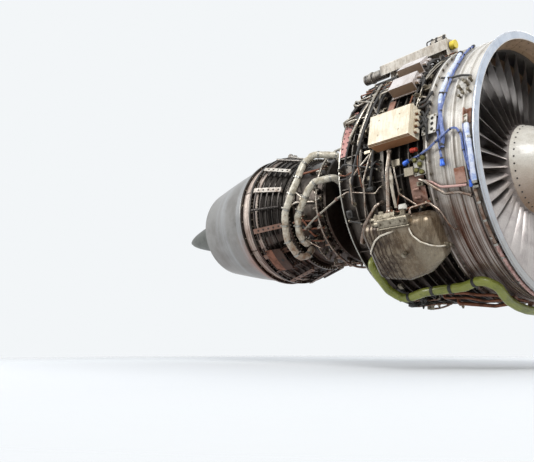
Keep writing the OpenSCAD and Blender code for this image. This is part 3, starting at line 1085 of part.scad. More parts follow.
// Shafts that take power out from the core: one up through a strut, one forward to the gearbox
box_rear = strut_mid - 62;
box_front = strut_mid + 62;
bevel_r = 34;
module transfer_gearbox() color("darkgray") clock(drive_clock) difference() {
  union() {
    translate([box_rear, -54, frame_r + gap]) cube([box_front - box_rear, 108, drive_r + 52 - frame_r - gap]);
    translate([0, 0, drive_r]) rod(box_front - 2, box_front + 8, 40);
    translate([strut_mid, 0, drive_r + 50]) cylinder(h = 10, r = 36, $fn = 48);
  }
  translate([strut_mid - bevel_r - 4, -bevel_r - 4, drive_r - bevel_r - 14])
    cube([2 * bevel_r + 18, 2 * bevel_r + 8, 2 * bevel_r + 18]);
  translate([strut_mid, 0, frame_r - 1]) cylinder(h = drive_r - bevel_r - frame_r, r = radial_bore);
  translate([0, 0, drive_r]) rod(strut_mid, box_front + 9, radial_bore);
}

module radial_shaft() color("lightsteelblue") clock(drive_clock) translate([strut_mid, 0, 0]) {
  translate([0, 0, 172]) cylinder(h = drive_r - bevel_r - 8 - 172, r = radial_r);
  for (z = [hub_rear + 20, frame_r - 24, frame_r + 12]) translate([0, 0, z]) cylinder(h = 12, r = radial_bore - gap);
  translate([0, 0, drive_r - bevel_r - drive_gap - 8]) cylinder(h = 8, r = bevel_r - drive_gap);
  translate([0, 0, drive_r - bevel_r - drive_gap])
    cylinder(h = 14, r1 = bevel_r - drive_gap, r2 = bevel_r - drive_gap - 14);
}

module drive_shaft() color("lightsteelblue") clock(drive_clock) translate([0, 0, drive_r]) {
  rod(strut_mid + bevel_r, gear_rear + 64, radial_r - 2);
  for (x = [box_front - 10, gear_rear + 6, gear_rear + 50]) rod(x, x + 12, radial_bore - gap);
  rod(strut_mid + bevel_r + drive_gap, strut_mid + bevel_r + drive_gap + 8, bevel_r - drive_gap);
  translate([strut_mid + bevel_r + drive_gap, 0, 0]) rotate([0, -90, 0])
    cylinder(h = 14, r1 = bevel_r - drive_gap, r2 = bevel_r - drive_gap - 14);
}

module drive_shaft_tube() color("gainsboro") clock(drive_clock) translate([0, 0, drive_r]) difference() {
  union() {
    rod(box_front + 8 + gap, gear_rear - gap, radial_bore + 5);
    rod(box_front + 8 + gap, box_front + 16, 36);
    rod(gear_rear - 8, gear_rear - gap, 30);
  }
  rod(box_front, gear_rear + 1, radial_bore);
}

fan_case();
acoustic_liners();
rub_strip();
mid_case();
fan_frame();
outlet_vanes();
splitter();
spinner_nose();
spinner_cone();
fan_disk();
fan_blades();
booster_rotor();
lp_shaft();
hpc_rotor();
hpt_rotor();
lpt_rotor();
bearings();
bearing_support();
forward_mount();
hpc_case();
vsv_rings();
vsv_crank();
vsv_actuator();
vsv_rod();
combustion_case();
combustor_liner();
fuel_nozzles();
turbine_nozzle();
lpt_case();
lpt_cooling_tubes();
tube_brackets();
turbine_rear_frame();
aft_mount();
exhaust_nozzle();
exhaust_plug();
casing_bolts();
oil_tank();
oil_filler_cap();
control_box();
exciter_boxes();
ignition_leads();
crown_beam();
crown_cap();
harness();
case_pipes();
case_brackets();
starter_duct();
bleed_ducts();
accessory_gearbox();
starter();
generator();
hydraulic_pump();
fuel_control();
power_lever();
shutoff_lever();
lube_unit();
transfer_gearbox();
radial_shaft();
drive_shaft();
drive_shaft_tube();
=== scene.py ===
import math
import random

import bmesh
import bpy
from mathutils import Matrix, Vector


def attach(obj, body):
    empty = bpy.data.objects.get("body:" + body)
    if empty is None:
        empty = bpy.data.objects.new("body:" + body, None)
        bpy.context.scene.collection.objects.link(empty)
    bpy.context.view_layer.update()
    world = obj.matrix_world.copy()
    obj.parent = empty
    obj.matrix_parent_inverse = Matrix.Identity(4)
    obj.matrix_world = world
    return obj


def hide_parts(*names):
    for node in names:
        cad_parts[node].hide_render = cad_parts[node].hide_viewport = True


# Looks of a two-spool turbofan without its nacelle. Lengths are in millimetres until a mesh is made,
# +X points out of the inlet, and a clock angle is measured from the top, positive to starboard.
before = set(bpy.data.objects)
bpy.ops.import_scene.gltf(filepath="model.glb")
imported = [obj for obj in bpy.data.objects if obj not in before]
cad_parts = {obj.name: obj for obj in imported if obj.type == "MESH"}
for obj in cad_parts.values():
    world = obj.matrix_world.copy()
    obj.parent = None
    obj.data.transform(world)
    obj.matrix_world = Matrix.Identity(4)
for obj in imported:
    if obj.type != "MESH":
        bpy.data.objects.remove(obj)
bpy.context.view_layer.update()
print("frame loaded")

# Stations and the ribs' radius, as in the CAD
xTurbine, xRear, xNozzle, xExit, xTip = -1880, -2230, -2360, -3066, -3886
midRibR = 822


def addObject(name, data):
    made = bpy.data.objects.new(name, data)
    bpy.context.scene.collection.objects.link(made)
    return made


# Camera, at the photograph's angle
cameraLook = {"place": (1.63473, -3.72705, -1.10107), "azimuth": 49.0, "elevation": -10.6, "lens": 41.627}
azimuth, elevation = math.radians(cameraLook["azimuth"]), math.radians(cameraLook["elevation"])
flat = math.cos(elevation)
backwards = Vector((math.sin(azimuth) * flat, -math.cos(azimuth) * flat, math.sin(elevation)))
camera = addObject("camera", bpy.data.cameras.new("camera"))
camera.location = cameraLook["place"]
camera.rotation_mode = "QUATERNION"
camera.rotation_quaternion = (-backwards).to_track_quat("-Z", "Y")
camera.data.sensor_width = 36
camera.data.lens = cameraLook["lens"]
camera.data.clip_end = 200
bpy.context.scene.camera = camera


# Materials
def toLinear(hexValue):
    number = int(hexValue.lstrip("#"), 16)
    parts = [(number >> shift & 255) / 255 for shift in (16, 8, 0)]
    return tuple(v / 12.92 if v <= 0.04045 else ((v + 0.055) / 1.055) ** 2.4 for v in parts) + (1.0,)


def addNode(tree, kind, links=None, out=0, **settings):
    # gives back the output asked for, or all of them
    node = tree.nodes.new("ShaderNode" + kind)
    for key, value in settings.items():
        setattr(node, key, value)
    for key, value in (links or {}).items():
        if isinstance(value, bpy.types.NodeSocket):
            tree.links.new(value, node.inputs[key])
        else:
            node.inputs[key].default_value = value
    return node.outputs if out is None else node.outputs[out]


def emptyTree(owner):
    owner.use_nodes = True
    owner.node_tree.nodes.clear()
    return owner.node_tree


usualLook = {
    "metallic": 0.9, "rough": (0.3, 0.55), "coat": 0.0,
    "patch": 90,                 # broad patches of the second colour, in mm
    "streak": None,              # direction, width and length in mm, colour, share
    "grime": ("#2b2119", 0.35),  # colour of loose dirt, also laid as painted shade in corners, and share of loose dirt
    "crevice": (45, 0.7),        # reach in mm and share of the dirt and painted shade in corners
    "grain": (3, 0.25),          # size and depth in mm
    "stain": None,               # colour that gathers from one height down to another, in metres: stains, and painted shade on polished metal
    "under": None,               # painted shade: colour of the faces that look down, between two slopes
    "edge": None,                # colour of worn edges
    "zones": (),                 # colour, stations and heights from none to full, in metres, and share
}
finishes = {}


def wornSurface(name, base, second, nodes="", **changes):
    # a finish, and the CAD nodes that wear it
    look = {**usualLook, **changes}
    material = finishes[name] = bpy.data.materials.new(name)
    tree = emptyTree(material)
    place = addNode(tree, "TexCoord", out="Object")
    parts = addNode(tree, "SeparateXYZ", {0: place}, None)
    patches = addNode(tree, "TexNoise", {"Vector": place, "Scale": 1000 / look["patch"], "Detail": 6.0,
                                         "Roughness": 0.62})
    patchMask = addNode(tree, "MapRange", {0: patches, 1: 0.47, 2: 0.63})
    layers = [(patchMask, second)]  # each mask with the colour laid over through it
    streakMask = patchMask
    if look["streak"]:
        direction, width, length, streakColour, share = look["streak"]
        width, length = 1000 / width, 1000 / length
        along, scale = place, (length, width, width)
        if direction == "round":  # rings round the engine, told apart by station
            angle = addNode(tree, "Math", {0: parts[1], 1: parts[2]}, operation="ARCTAN2")
            along = addNode(tree, "CombineXYZ", {0: parts[0], 1: angle, 2: 0.0})
            scale = (width, length * 0.8, 1)
        elif direction == "down":
            scale = (width, width, length)
        mapped = addNode(tree, "Mapping", {"Vector": along, "Scale": scale})
        streaks = addNode(tree, "TexNoise", {"Vector": mapped, "Scale": 1.0, "Detail": 4.0, "Roughness": 0.6})
        streakMask = addNode(tree, "MapRange", {0: streaks, 1: 0.46, 2: 0.68, 4: share})
        layers.append((streakMask, streakColour))
    if look["stain"]:
        stain, high, low = look["stain"]
        wavy = addNode(tree, "Math", {0: patches, 1: -0.9, 2: parts[2]}, operation="MULTIPLY_ADD")
        layers.append((addNode(tree, "MapRange", {0: wavy, 1: high - 0.45, 2: low - 0.45, 4: 0.85}), stain))
    # painted shade on the faces that look down
    if look["under"]:
        under, level, steep = look["under"]
        slope = addNode(tree, "NewGeometry", out="True Normal")
        rise = addNode(tree, "SeparateXYZ", {0: slope}, 2)
        layers.append((addNode(tree, "MapRange", {0: rise, 1: level, 2: steep, 4: 0.95}), under))
    for zoneColour, stations, heights, zoneShare in look["zones"]:
        inZone = None
        for axis, span in ((0, stations), (2, heights)):
            if span:
                none, full = span
                rag = 0.3 * (full - none)
                ragged = addNode(tree, "Math", {0: patches, 1: 2 * rag, 2: parts[axis]},
                                 operation="MULTIPLY_ADD")
                ramp = addNode(tree, "MapRange", {0: ragged, 1: none + rag, 2: full + rag},
                               interpolation_type="SMOOTHSTEP")
                inZone = addNode(tree, "Math", {0: inZone, 1: ramp}, operation="MULTIPLY") if inZone else ramp
        if look["streak"]:
            broken = addNode(tree, "MapRange", {0: streaks, 1: 0.36, 2: 0.6, 3: 1.0, 4: 0.3})
            inZone = addNode(tree, "Math", {0: inZone, 1: broken}, operation="MULTIPLY")
        layers.append((addNode(tree, "Math", {0: inZone, 1: zoneShare}, operation="MULTIPLY"), zoneColour))
    grainSize, grainDepth = look["grain"]
    grain = addNode(tree, "TexNoise", {"Vector": place, "Scale": 1000 / grainSize, "Detail": 3.0})
    speckle = addNode(tree, "MapRange", {0: grain, 1: 0.3, 2: 0.7, 3: 0.82, 4: 1.12})
    grey = addNode(tree, "CombineColor", {0: speckle, 1: speckle, 2: speckle})
    layers.append((1.0, grey))
    grime, grimeShare = look["grime"]
    dirt = addNode(tree, "TexNoise", {"Vector": place, "Scale": 1000 / (look["patch"] * 0.35), "Detail": 5.0,
                                      "Roughness": 0.7})
    dirtAndShadeMask = addNode(tree, "MapRange", {0: dirt, 1: 0.7 - grimeShare * 0.35, 2: 0.85, 4: 0.9})
    reach, share = look["crevice"]
    if share:  # dirt and painted shade, found by occlusion, in corners and between pipes
        shut = addNode(tree, "AmbientOcclusion", {"Distance": reach / 1000}, "AO", samples=6)
        corner = addNode(tree, "MapRange", {0: shut, 1: 0.95, 2: 0.25, 4: share})
        dirtAndShadeMask = addNode(tree, "Math", {0: dirtAndShadeMask, 1: corner}, operation="MAXIMUM")
    layers.append((dirtAndShadeMask, grime))
    if look["edge"]:  # bright wear where an edge stands proud
        rim = addNode(tree, "AmbientOcclusion", {"Distance": 0.004}, "AO", samples=6, inside=True,
                      only_local=True)
        layers.append((addNode(tree, "MapRange", {0: rim, 1: 0.75, 2: 0.35, 4: 0.8}), look["edge"]))
    colour = toLinear(base)
    for mask, over in layers:  # the grain darkens what lies under it, the others cover it
        over, blend = (over, "MULTIPLY") if over is grey else (toLinear(over), "MIX")
        colour = addNode(tree, "Mix", {0: mask, 6: colour, 7: over}, 2, data_type="RGBA", blend_type=blend)
    sheen = addNode(tree, "Math", {0: streakMask, 1: dirtAndShadeMask}, operation="MAXIMUM")
    rough = addNode(tree, "MapRange", {0: sheen, 1: 0.0, 2: 1.0, 3: look["rough"][0], 4: look["rough"][1]})
    bump = addNode(tree, "Bump", {"Height": grain, "Distance": grainDepth / 1000, "Strength": 0.7})
    shader = addNode(tree, "BsdfPrincipled", {
        "Base Color": colour, "Metallic": look["metallic"], "Roughness": rough, "Normal": bump,
        "Coat Weight": look["coat"]})
    addNode(tree, "OutputMaterial", {0: shader}, None)
    for nodeName in nodes.split():
        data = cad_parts[nodeName].data
        data.materials.clear()
        data.materials.append(material)


# machined aluminium alloy left bare: bright rings round the case, greyer from the middle down by painted
# shade, brown oil and rust stains low down
wornSurface("barrelAlloyMachined", "#e4e0d8", "#cbc5bb", metallic=0.35, rough=(0.26, 0.5),
    streak=("round", 9, 700, "#efebe3", 0.7), grime=("#3a2c22", 0.3),
    zones=(("#948a7e", None, (0.25, -0.05), 0.85), ("#6b3a22", None, (-0.12, -0.48), 1.0),
           ("#2b1e17", None, (-0.32, -0.75), 0.7)),
    nodes="fan_case")
# cast alloy, grey-brown with years of oil film
wornSurface("caseAlloyCast", "#78726a", "#4b443d", metallic=0.6, rough=(0.35, 0.6),
    streak=("round", 10, 260, "#9c958a", 0.5), grime=("#211a15", 0.65), crevice=(110, 0.92),
    stain=("#3c2b20", 0.2, -0.6), nodes="mid_case fan_frame")
# polished and rinsed by rain: painted bluish white reflections, greyed towards the bottom by painted shade
wornSurface("rimAlloyPolished", "#c9d2e0", "#aeb9ca", metallic=0.6, rough=(0.18, 0.38),
    streak=("round", 3, 700, "#eef2f8", 0.5), grime=("#2b2119", 0.12), crevice=(45, 0.2),
    grain=(3, 0.1), stain=("#a5a29c", 0.2, -0.6))
# perforated glass-fibre facing, tan resin darkened in patches
wornSurface("linerResinMoulded", "#a98c6e", "#8f7359", metallic=0.0, rough=(0.42, 0.6),
    streak=("round", 20, 600, "#6f5848", 0.35), grime=("#4a3a2c", 0.3), crevice=(45, 0.4),
    grain=(4, 0.25), nodes="acoustic_liners")
# rubber-like filler cut by the blade tips: dark, ringed
wornSurface("rubFillerCut", "#4b4640", "#38342f", metallic=0.0, rough=(0.5, 0.75),
    streak=("round", 2, 900, "#77706a", 0.5), crevice=(45, 0.2), nodes="rub_strip")
# forged titanium, hand-brushed along the span: soft pinkish grey
wornSurface("bladeTitaniumBrushed", "#b9b2ae", "#a59d9a", metallic=0.85, rough=(0.28, 0.42),
    streak=("down", 4, 260, "#cfc9c4", 0.45), grime=("#4a423c", 0.18), crevice=(60, 0.45),
    grain=(2, 0.06), nodes="fan_blades")
# epoxy enamel, cream-grey, streaked outwards by flow, with a painted warm reflection of the ground where its
# faces look down
wornSurface("spinnerEnamelSprayed", "#d9d5ca", "#c7c2b5", metallic=0.0, rough=(0.25, 0.45),
    streak=("along", 12, 260, "#b3aca0", 0.45), grime=("#7c7264", 0.2), crevice=(45, 0.25),
    grain=(3, 0.08), under=("#a98d75", 0.05, -0.75), coat=0.2, nodes="spinner_cone")
# spun alloy dome, polished: soft reflections with fine rings
wornSurface("noseAlloySpun", "#c9c8c4", "#b2b0ac", metallic=0.7, rough=(0.18, 0.36),
    streak=("round", 3, 300, "#e4e3df", 0.5), grime=("#2b2119", 0.12), crevice=(45, 0.15),
    grain=(3, 0.06), nodes="spinner_nose")
# ground steel: cool grey with fine turned rings
wornSurface("rotorSteelGround", "#7c7d80", "#66666a", metallic=1.0, rough=(0.25, 0.45),
    streak=("round", 3, 300, "#a0a2a6", 0.5), crevice=(45, 0.5),
    nodes="fan_disk booster_rotor lp_shaft hpc_rotor bearing_support radial_shaft drive_shaft")
# anodised alloy vanes: even grey, brushed along the span
wornSurface("vaneAlloyAnodised", "#85868a", "#6e6f72", rough=(0.35, 0.55),
    streak=("down", 6, 120, "#9c9da0", 0.5), crevice=(45, 0.6), nodes="outlet_vanes splitter")
# nickel alloy browned and blued by heat
wornSurface("hotAlloyHeatStained", "#453e38", "#2b2622", rough=(0.32, 0.6),
    streak=("round", 12, 300, "#6b625a", 0.45), grime=("#171310", 0.55), crevice=(70, 0.85),
    stain=("#45291c", 0.0, -0.5), nodes="hpc_case combustion_case")
# oxidised nickel alloy: nearly black, with rubbed pale rings and rust below
wornSurface("turbineCaseOxidised", "#3d3834", "#262220", rough=(0.22, 0.5),
    streak=("round", 10, 500, "#8c857d", 0.4), grime=("#15110f", 0.4), crevice=(50, 0.8),
    zones=(("#5c3322", None, (-0.1, -0.5), 0.7),), nodes="lpt_case turbine_rear_frame")
# thin nickel tubes and sheet scorched nearly black, still smooth, their tops paled by a painted highlight
wornSurface("tubeNickelScorched", "#2f2a27", "#1f1b19", metallic=0.7, rough=(0.2, 0.42),
    streak=("round", 14, 500, "#77706a", 0.35), grime=("#2b2119", 0.3), crevice=(40, 0.7),
    zones=(("#8f8981", None, (0.05, 0.42), 0.75), ("#4a2a1d", None, (-0.1, -0.5), 0.6)),
    nodes="lpt_cooling_tubes")
# pale heat-resisting sheet of the tube brackets, rusted low down
wornSurface("bracketSheetPressed", "#ded8cd", "#b5aa9b", metallic=0.15, rough=(0.35, 0.55), patch=50,
    grime=("#2b2119", 0.4), crevice=(25, 0.7), zones=(("#6b4330", None, (0.25, 0.0), 0.9),),
    nodes="tube_brackets")
# ceramic-like paint of the band by the rear flange, cream turned pink
wornSurface("bandEnamelBaked", "#cdbdb0", "#ab988b", metallic=0.1, rough=(0.4, 0.6),
    streak=("round", 8, 300, "#e3d8cd", 0.5), grime=("#4a3024", 0.45), crevice=(30, 0.7),
    zones=(("#6b3f2c", None, (0.05, -0.3), 0.85),))
# red-pink primer rolled thin on sheet, chalky
wornSurface("sheetPrimerRolled", "#c48c84", "#a5695f", metallic=0.0, rough=(0.5, 0.7), patch=50,
    streak=("round", 6, 120, "#d9b0aa", 0.5), grime=("#4a2e28", 0.4), crevice=(30, 0.7))
# cast nickel inside the hot end: dull brown-grey
wornSurface("innerNickelCast", "#6d6259", "#50473f", rough=(0.4, 0.6), crevice=(45, 0.6),
    nodes="hpt_rotor lpt_rotor combustor_liner turbine_nozzle")
# rolled steel sheet, smooth satin grey with faint blotches, broad pale bands round it as painted highlights
# and a brown painted shade towards the bottom
wornSurface("nozzleSheetRolled", "#8e8c89", "#7b7874", metallic=0.6, rough=(0.3, 0.46), patch=260,
    streak=("round", 120, 5000, "#b2b5b9", 0.5), grime=("#5a5148", 0.14), crevice=(45, 0.2),
    grain=(3, 0.08),
    zones=(("#5f4e43", None, (-0.1, -0.6), 0.75), ("#a95a2a", (-2.52, -2.4), (-0.1, -0.45), 0.9)),
    nodes="exhaust_nozzle")
# spun steel sheet: smooth, dark greenish grey
wornSurface("plugSheetSpun", "#5f615c", "#4b4c48", metallic=0.7, rough=(0.36, 0.55),
    streak=("round", 20, 400, "#74756f", 0.5), grime=("#2b2119", 0.2), crevice=(45, 0.3),
    grain=(3, 0.1), nodes="exhaust_plug")
# drawn steel tube: bright on top, brown where it rusts
wornSurface("tubeSteelDrawn", "#b7b0a4", "#8c8274", metallic=0.85, rough=(0.25, 0.55), patch=40,
    grime=("#3b2c20", 0.45), crevice=(30, 0.6), stain=("#6a4431", 0.2, -0.6),
    nodes="fuel_nozzles case_pipes drive_shaft_tube")
# rusted steel tube: matt orange-brown
wornSurface("tubeSteelRusted", "#7d4b31", "#5b3726", metallic=0.25, rough=(0.5, 0.8), patch=50,
    grime=("#281a13", 0.4), crevice=(30, 0.7))
# moulded rubber hose: matt black, greyed by dust
wornSurface("hoseRubberMoulded", "#262422", "#35312d", metallic=0.0, rough=(0.45, 0.7), patch=60,
    grime=("#5b5248", 0.3), crevice=(45, 0.2))
# machined steel links: clean faces, painted shade in the corners
wornSurface("linkSteelMachined", "#aaa79f", "#8d897f", rough=(0.25, 0.5), patch=40, grime=("#382c22", 0.4),
    crevice=(25, 0.75), nodes="bearings vsv_rings vsv_crank vsv_actuator vsv_rod")
# plated steel bolts: pale heads with dirt and painted shade round them
wornSurface("boltSteelPlated", "#a49d8e", "#7b7264", rough=(0.3, 0.5), patch=30, grime=("#33281e", 0.4),
    crevice=(14, 0.7), grain=(2, 0.25), nodes="casing_bolts")
# forged steel: dark skin, bright along its edges
wornSurface("mountSteelForged", "#605c57", "#4a4642", rough=(0.4, 0.6), grime=("#2b2119", 0.5),
    edge="#9c968c", nodes="forward_mount aft_mount")
# deep-drawn tank under brown oil film, polished by handling, with pale streaks running down as painted
# highlights
wornSurface("tankSkinDrawn", "#74644f", "#4f3e2b", metallic=0.6, rough=(0.26, 0.46), patch=120,
    streak=("down", 24, 420, "#a09480", 0.55), grime=("#2c2018", 0.42), crevice=(60, 0.7),
    grain=(3, 0.12), coat=0.12,
    zones=(("#2a1d14", (-0.47, -0.62), None, 1.0), ("#aba18d", (-0.42, -0.34), (-0.5, -0.6), 0.6)),
    nodes="oil_tank")
# weld beads and ridges of the tank, darker where oil has dried on them
wornSurface("tankSeamWelded", "#4a392b", "#33261c", metallic=0.5, rough=(0.35, 0.6), patch=40,
    grime=("#1f1712", 0.4), crevice=(15, 0.7))
# silicone-coated tube, cream gone grey in places
wornSurface("tubeSiliconeMoulded", "#d9d0bf", "#b9ab95", metallic=0.0, rough=(0.4, 0.6), patch=40,
    grime=("#5b4b3a", 0.35), crevice=(15, 0.4))
# anodised aluminium shells of electrical connectors
wornSurface("connectorAnodisedBlue", "#3f6fd8", "#2c54ae", metallic=0.4, rough=(0.3, 0.45), patch=15,
    grime=("#1d2c55", 0.25), crevice=(10, 0.7))
wornSurface("connectorAnodisedRed", "#b8412f", "#8f2f22", metallic=0.3, rough=(0.35, 0.5), patch=15,
    grime=("#4a1812", 0.25), crevice=(10, 0.7))
# cast alloy fittings: pale grit under oily dirt
wornSurface("fittingAlloyCast", "#9a9180", "#6f6657", rough=(0.35, 0.6), patch=40, grime=("#2f261d", 0.5),
    crevice=(30, 0.7))
# moulded plastic: off-white, with a little gloss
wornSurface("capPlasticMoulded", "#dcd8cd", "#c9c3b4", metallic=0.0, rough=(0.3, 0.5), patch=30,
    grime=("#6b6152", 0.3), crevice=(15, 0.7), grain=(3, 0.05), nodes="oil_filler_cap")
# cream enamel on a folded box, with a painted orange-brown shade on the faces that look down
wornSurface("boxEnamelSprayed", "#efe6d0", "#ddd0b4", metallic=0.0, rough=(0.4, 0.6),
    streak=("down", 12, 150, "#cdbb98", 0.5), grime=("#6a4a30", 0.18), crevice=(20, 0.55),
    grain=(3, 0.12), under=("#8d5a33", -0.25, -0.6), edge="#b6a07c", nodes="control_box")
# anodised alloy cans: pale pinkish grey, drip marks, bright edges, painted brown shade on the faces that look
# down
wornSurface("exciterAlloyAnodised", "#d8d1ce", "#bdb2ab", metallic=0.2, rough=(0.35, 0.55),
    streak=("down", 12, 120, "#e4e0dd", 0.5), grime=("#5e4a3a", 0.28), crevice=(25, 0.65),
    under=("#8a7058", 0.1, -0.3), edge="#f4f0ee", nodes="exciter_boxes")
# woven steel braid: a fine grain that glitters
wornSurface("leadBraidWoven", "#a39c90", "#847c70", rough=(0.4, 0.6), patch=30, grime=("#3b3026", 0.4),
    crevice=(20, 0.7), grain=(2.2, 0.8), nodes="ignition_leads")
# weathered enamel: cream with dark runs and painted shade on the faces that look down, nearly black at the
# rear duct
wornSurface("beamEnamelWeathered", "#e6dfd2", "#c9beae", metallic=0.05, rough=(0.45, 0.65),
    streak=("down", 20, 90, "#a29380", 0.6), grime=("#3c2d20", 0.4), crevice=(70, 0.8),
    under=("#6f6254", -0.1, -0.6), edge="#ece6da", zones=(("#241f1b", (-1.03, -1.06), None, 1.0),),
    nodes="crown_beam")
# moulded yellow plastic: clean and bright
wornSurface("capPlasticYellow", "#f3da48", "#e6c832", metallic=0.0, rough=(0.3, 0.45), patch=40,
    grime=("#9a7f28", 0.2), crevice=(15, 0.7), grain=(3, 0.05), nodes="crown_cap")
# braided and woven wire sleeves: soft cloth grain, dirt and painted shade in the folds
wornSurface("wireSleeveBraided", "#5a6ca6", "#8c9bc8", metallic=0.0, rough=(0.4, 0.6), patch=30,
    grime=("#2a3866", 0.32), crevice=(18, 0.7), grain=(3, 0.7), nodes="harness")
wornSurface("wireSleeveWhite", "#d9dfee", "#9fb4e0", metallic=0.0, rough=(0.4, 0.6), patch=40,
    grime=("#5a6484", 0.35), crevice=(15, 0.7), grain=(3, 0.7))
wornSurface("wireSleevePink", "#c9a39a", "#a57c72", metallic=0.0, rough=(0.45, 0.65), patch=25,
    grime=("#5c4038", 0.3), crevice=(15, 0.7), grain=(3, 0.6))
# olive enamel: smooth, half gloss
wornSurface("ductEnamelGreen", "#858a38", "#6f7430", metallic=0.0, rough=(0.32, 0.5),
    streak=("along", 16, 200, "#989c50", 0.35), grime=("#4c4a20", 0.3), crevice=(40, 0.6),
    grain=(3, 0.1), coat=0.15, nodes="starter_duct")
# foil-faced insulation, creased and smoked
wornSurface("ductBlanketWrapped", "#cfc8b7", "#aba18c", metallic=0.15, rough=(0.35, 0.6), patch=45,
    grime=("#5b4c3a", 0.45), crevice=(40, 0.7), grain=(14, 2.2), stain=("#7a5236", -0.1, -0.5),
    nodes="bleed_ducts")
# magnesium casting: grainy grey skin, oily corners darkened by painted shade
wornSurface("gearboxMagnesiumCast", "#7f807b", "#67675f", metallic=0.4, rough=(0.4, 0.62), patch=70,
    grime=("#2b2119", 0.5), crevice=(60, 0.7), grain=(4, 0.5),
    nodes="accessory_gearbox hydraulic_pump fuel_control lube_unit transfer_gearbox")
# baked enamel: dark blue-grey with rubbed edges
wornSurface("accessoryEnamelBaked", "#4e5153", "#3b3d3f", metallic=0.1, rough=(0.35, 0.55),
    grime=("#2b2119", 0.45), edge="#8f8b84", nodes="starter generator")
# bronze-plated levers: dull gold
wornSurface("leverBronzePlated", "#b29a55", "#927b3f", rough=(0.3, 0.5), patch=20, grime=("#2b2119", 0.3),
    crevice=(10, 0.7), nodes="power_lever shutoff_lever")
# painted shade in holes and screw heads, black-brown like oxide, without shine
wornSurface("holeShadowedOxide", "#17130f", "#241d17", metallic=0.0, rough=(0.7, 0.9), patch=20,
    crevice=(45, 0.0))
# rusted steel plate: pinkish brown blotches
wornSurface("plateSteelRusted", "#a88474", "#84543c", metallic=0.2, rough=(0.5, 0.75), patch=60,
    grime=("#3a241a", 0.4), crevice=(30, 0.7), nodes="case_brackets")
# chromate-treated connectors: yellow-green metal
wornSurface("connectorChromateGreen", "#7c7846", "#5c5836", metallic=0.6, rough=(0.35, 0.5), patch=15,
    grime=("#2b2119", 0.35), crevice=(12, 0.7))
print("materials made:", len(finishes))


# Mesh helpers, in millimetres
def at(x, clock, r):
    c = math.radians(clock)
    return Vector((x, -r * math.sin(c), r * math.cos(c)))


def turned(clock, x, y, z):
    c = math.radians(clock)
    return Vector((x, y * math.cos(c) - z * math.sin(c), y * math.sin(c) + z * math.cos(c)))


def outward(clock):
    return turned(clock, 0, 0, 1)


def mix(a, b, t):
    return a + (b - a) * t


def newMesh():
    return {"verts": [], "faces": []}


def addSkin(mesh, rows, closed=False):
    # a skin over rows of points, with a face on each end or joined up into a ring
    m, count, start = len(rows[0]), len(rows), len(mesh["verts"])
    mesh["verts"] += [tuple(p) for row in rows for p in row]
    for i in range(count if closed else count - 1):
        a, b = start + i * m, start + (i + 1) % count * m
        mesh["faces"] += [(a + j, a + (j + 1) % m, b + (j + 1) % m, b + j) for j in range(m)]
    if not closed:
        last = start + (count - 1) * m
        mesh["faces"] += [tuple(range(start + m - 1, start - 1, -1)), tuple(range(last, last + m))]


def addTube(mesh, path, radius, sides=12, closed=False):
    # a tube along a path; radius is a number or one for each point
    path = [Vector(p) for p in path]
    count = len(path)
    radii = radius if hasattr(radius, "__len__") else [radius] * count
    if closed:
        ahead = [path[(i + 1) % count] - path[i - 1] for i in range(count)]
    else:
        ahead = [path[min(i + 1, count - 1)] - path[max(i - 1, 0)] for i in range(count)]
    side = ahead[0].orthogonal().normalized()
    rows = []
    for p, r, forward in zip(path, radii, ahead):
        forward = forward.normalized()
        side = (side - forward * side.dot(forward)).normalized()
        other = forward.cross(side)
        angles = (2 * math.pi * k / sides for k in range(sides))
        rows.append([p + (side * math.cos(a) + other * math.sin(a)) * r for a in angles])
    addSkin(mesh, rows, closed)


def addPeg(mesh, place, axis, lengths, radius, sides=12):
    # a tube through the points at some lengths along an axis
    addTube(mesh, [place + axis * length for length in lengths], radius, sides)


def addBolt(mesh, place, axis, radius, height):
    axis = Vector(axis).normalized()
    addPeg(mesh, place, axis, (0, height * 0.25), radius * 1.35)
    addPeg(mesh, place, axis, (0, height), radius, 6)


def addHull(mesh, points):
    shape = bmesh.new()
    for p in points:
        shape.verts.new(p)
    bmesh.ops.convex_hull(shape, input=shape.verts)
    bmesh.ops.dissolve_limit(shape, angle_limit=0.01, verts=shape.verts, edges=shape.edges)
    shape.verts.index_update()
    start = len(mesh["verts"])
    mesh["verts"] += [tuple(v.co) for v in shape.verts]
    mesh["faces"] += [tuple(start + v.index for v in f.verts) for f in shape.faces]
    shape.free()


def addBox(mesh, clock, low, high, chamfer=1.5):
    # a chamfered box between two corners, given as at the top of the engine and turned to its clock angle
    points = []
    for corner in range(8):
        for proud in range(3):
            place = []
            for axis, bit in enumerate((4, 2, 1)):
                inset = 0 if axis == proud else chamfer
                place.append(high[axis] - inset if corner & bit else low[axis] + inset)
            points.append(turned(clock, *place))
    addHull(mesh, points)


def addLathe(mesh, profile, segments=192):
    # turns [radius, station] points about the engine's axis
    addSkin(mesh, [[at(x, 360 * k / segments, r) for r, x in profile] for k in range(segments)], closed=True)


def addSheet(mesh, stations, clocks, r, thick):
    # a sheet bent round the engine's axis
    (x0, x1), steps = stations, max(2, math.ceil((clocks[1] - clocks[0]) / 3))
    corners = ((x0, r), (x1, r), (x1, r + thick), (x0, r + thick))
    addSkin(mesh, [[at(x, mix(*clocks, k / steps), h) for x, h in corners] for k in range(steps + 1)])


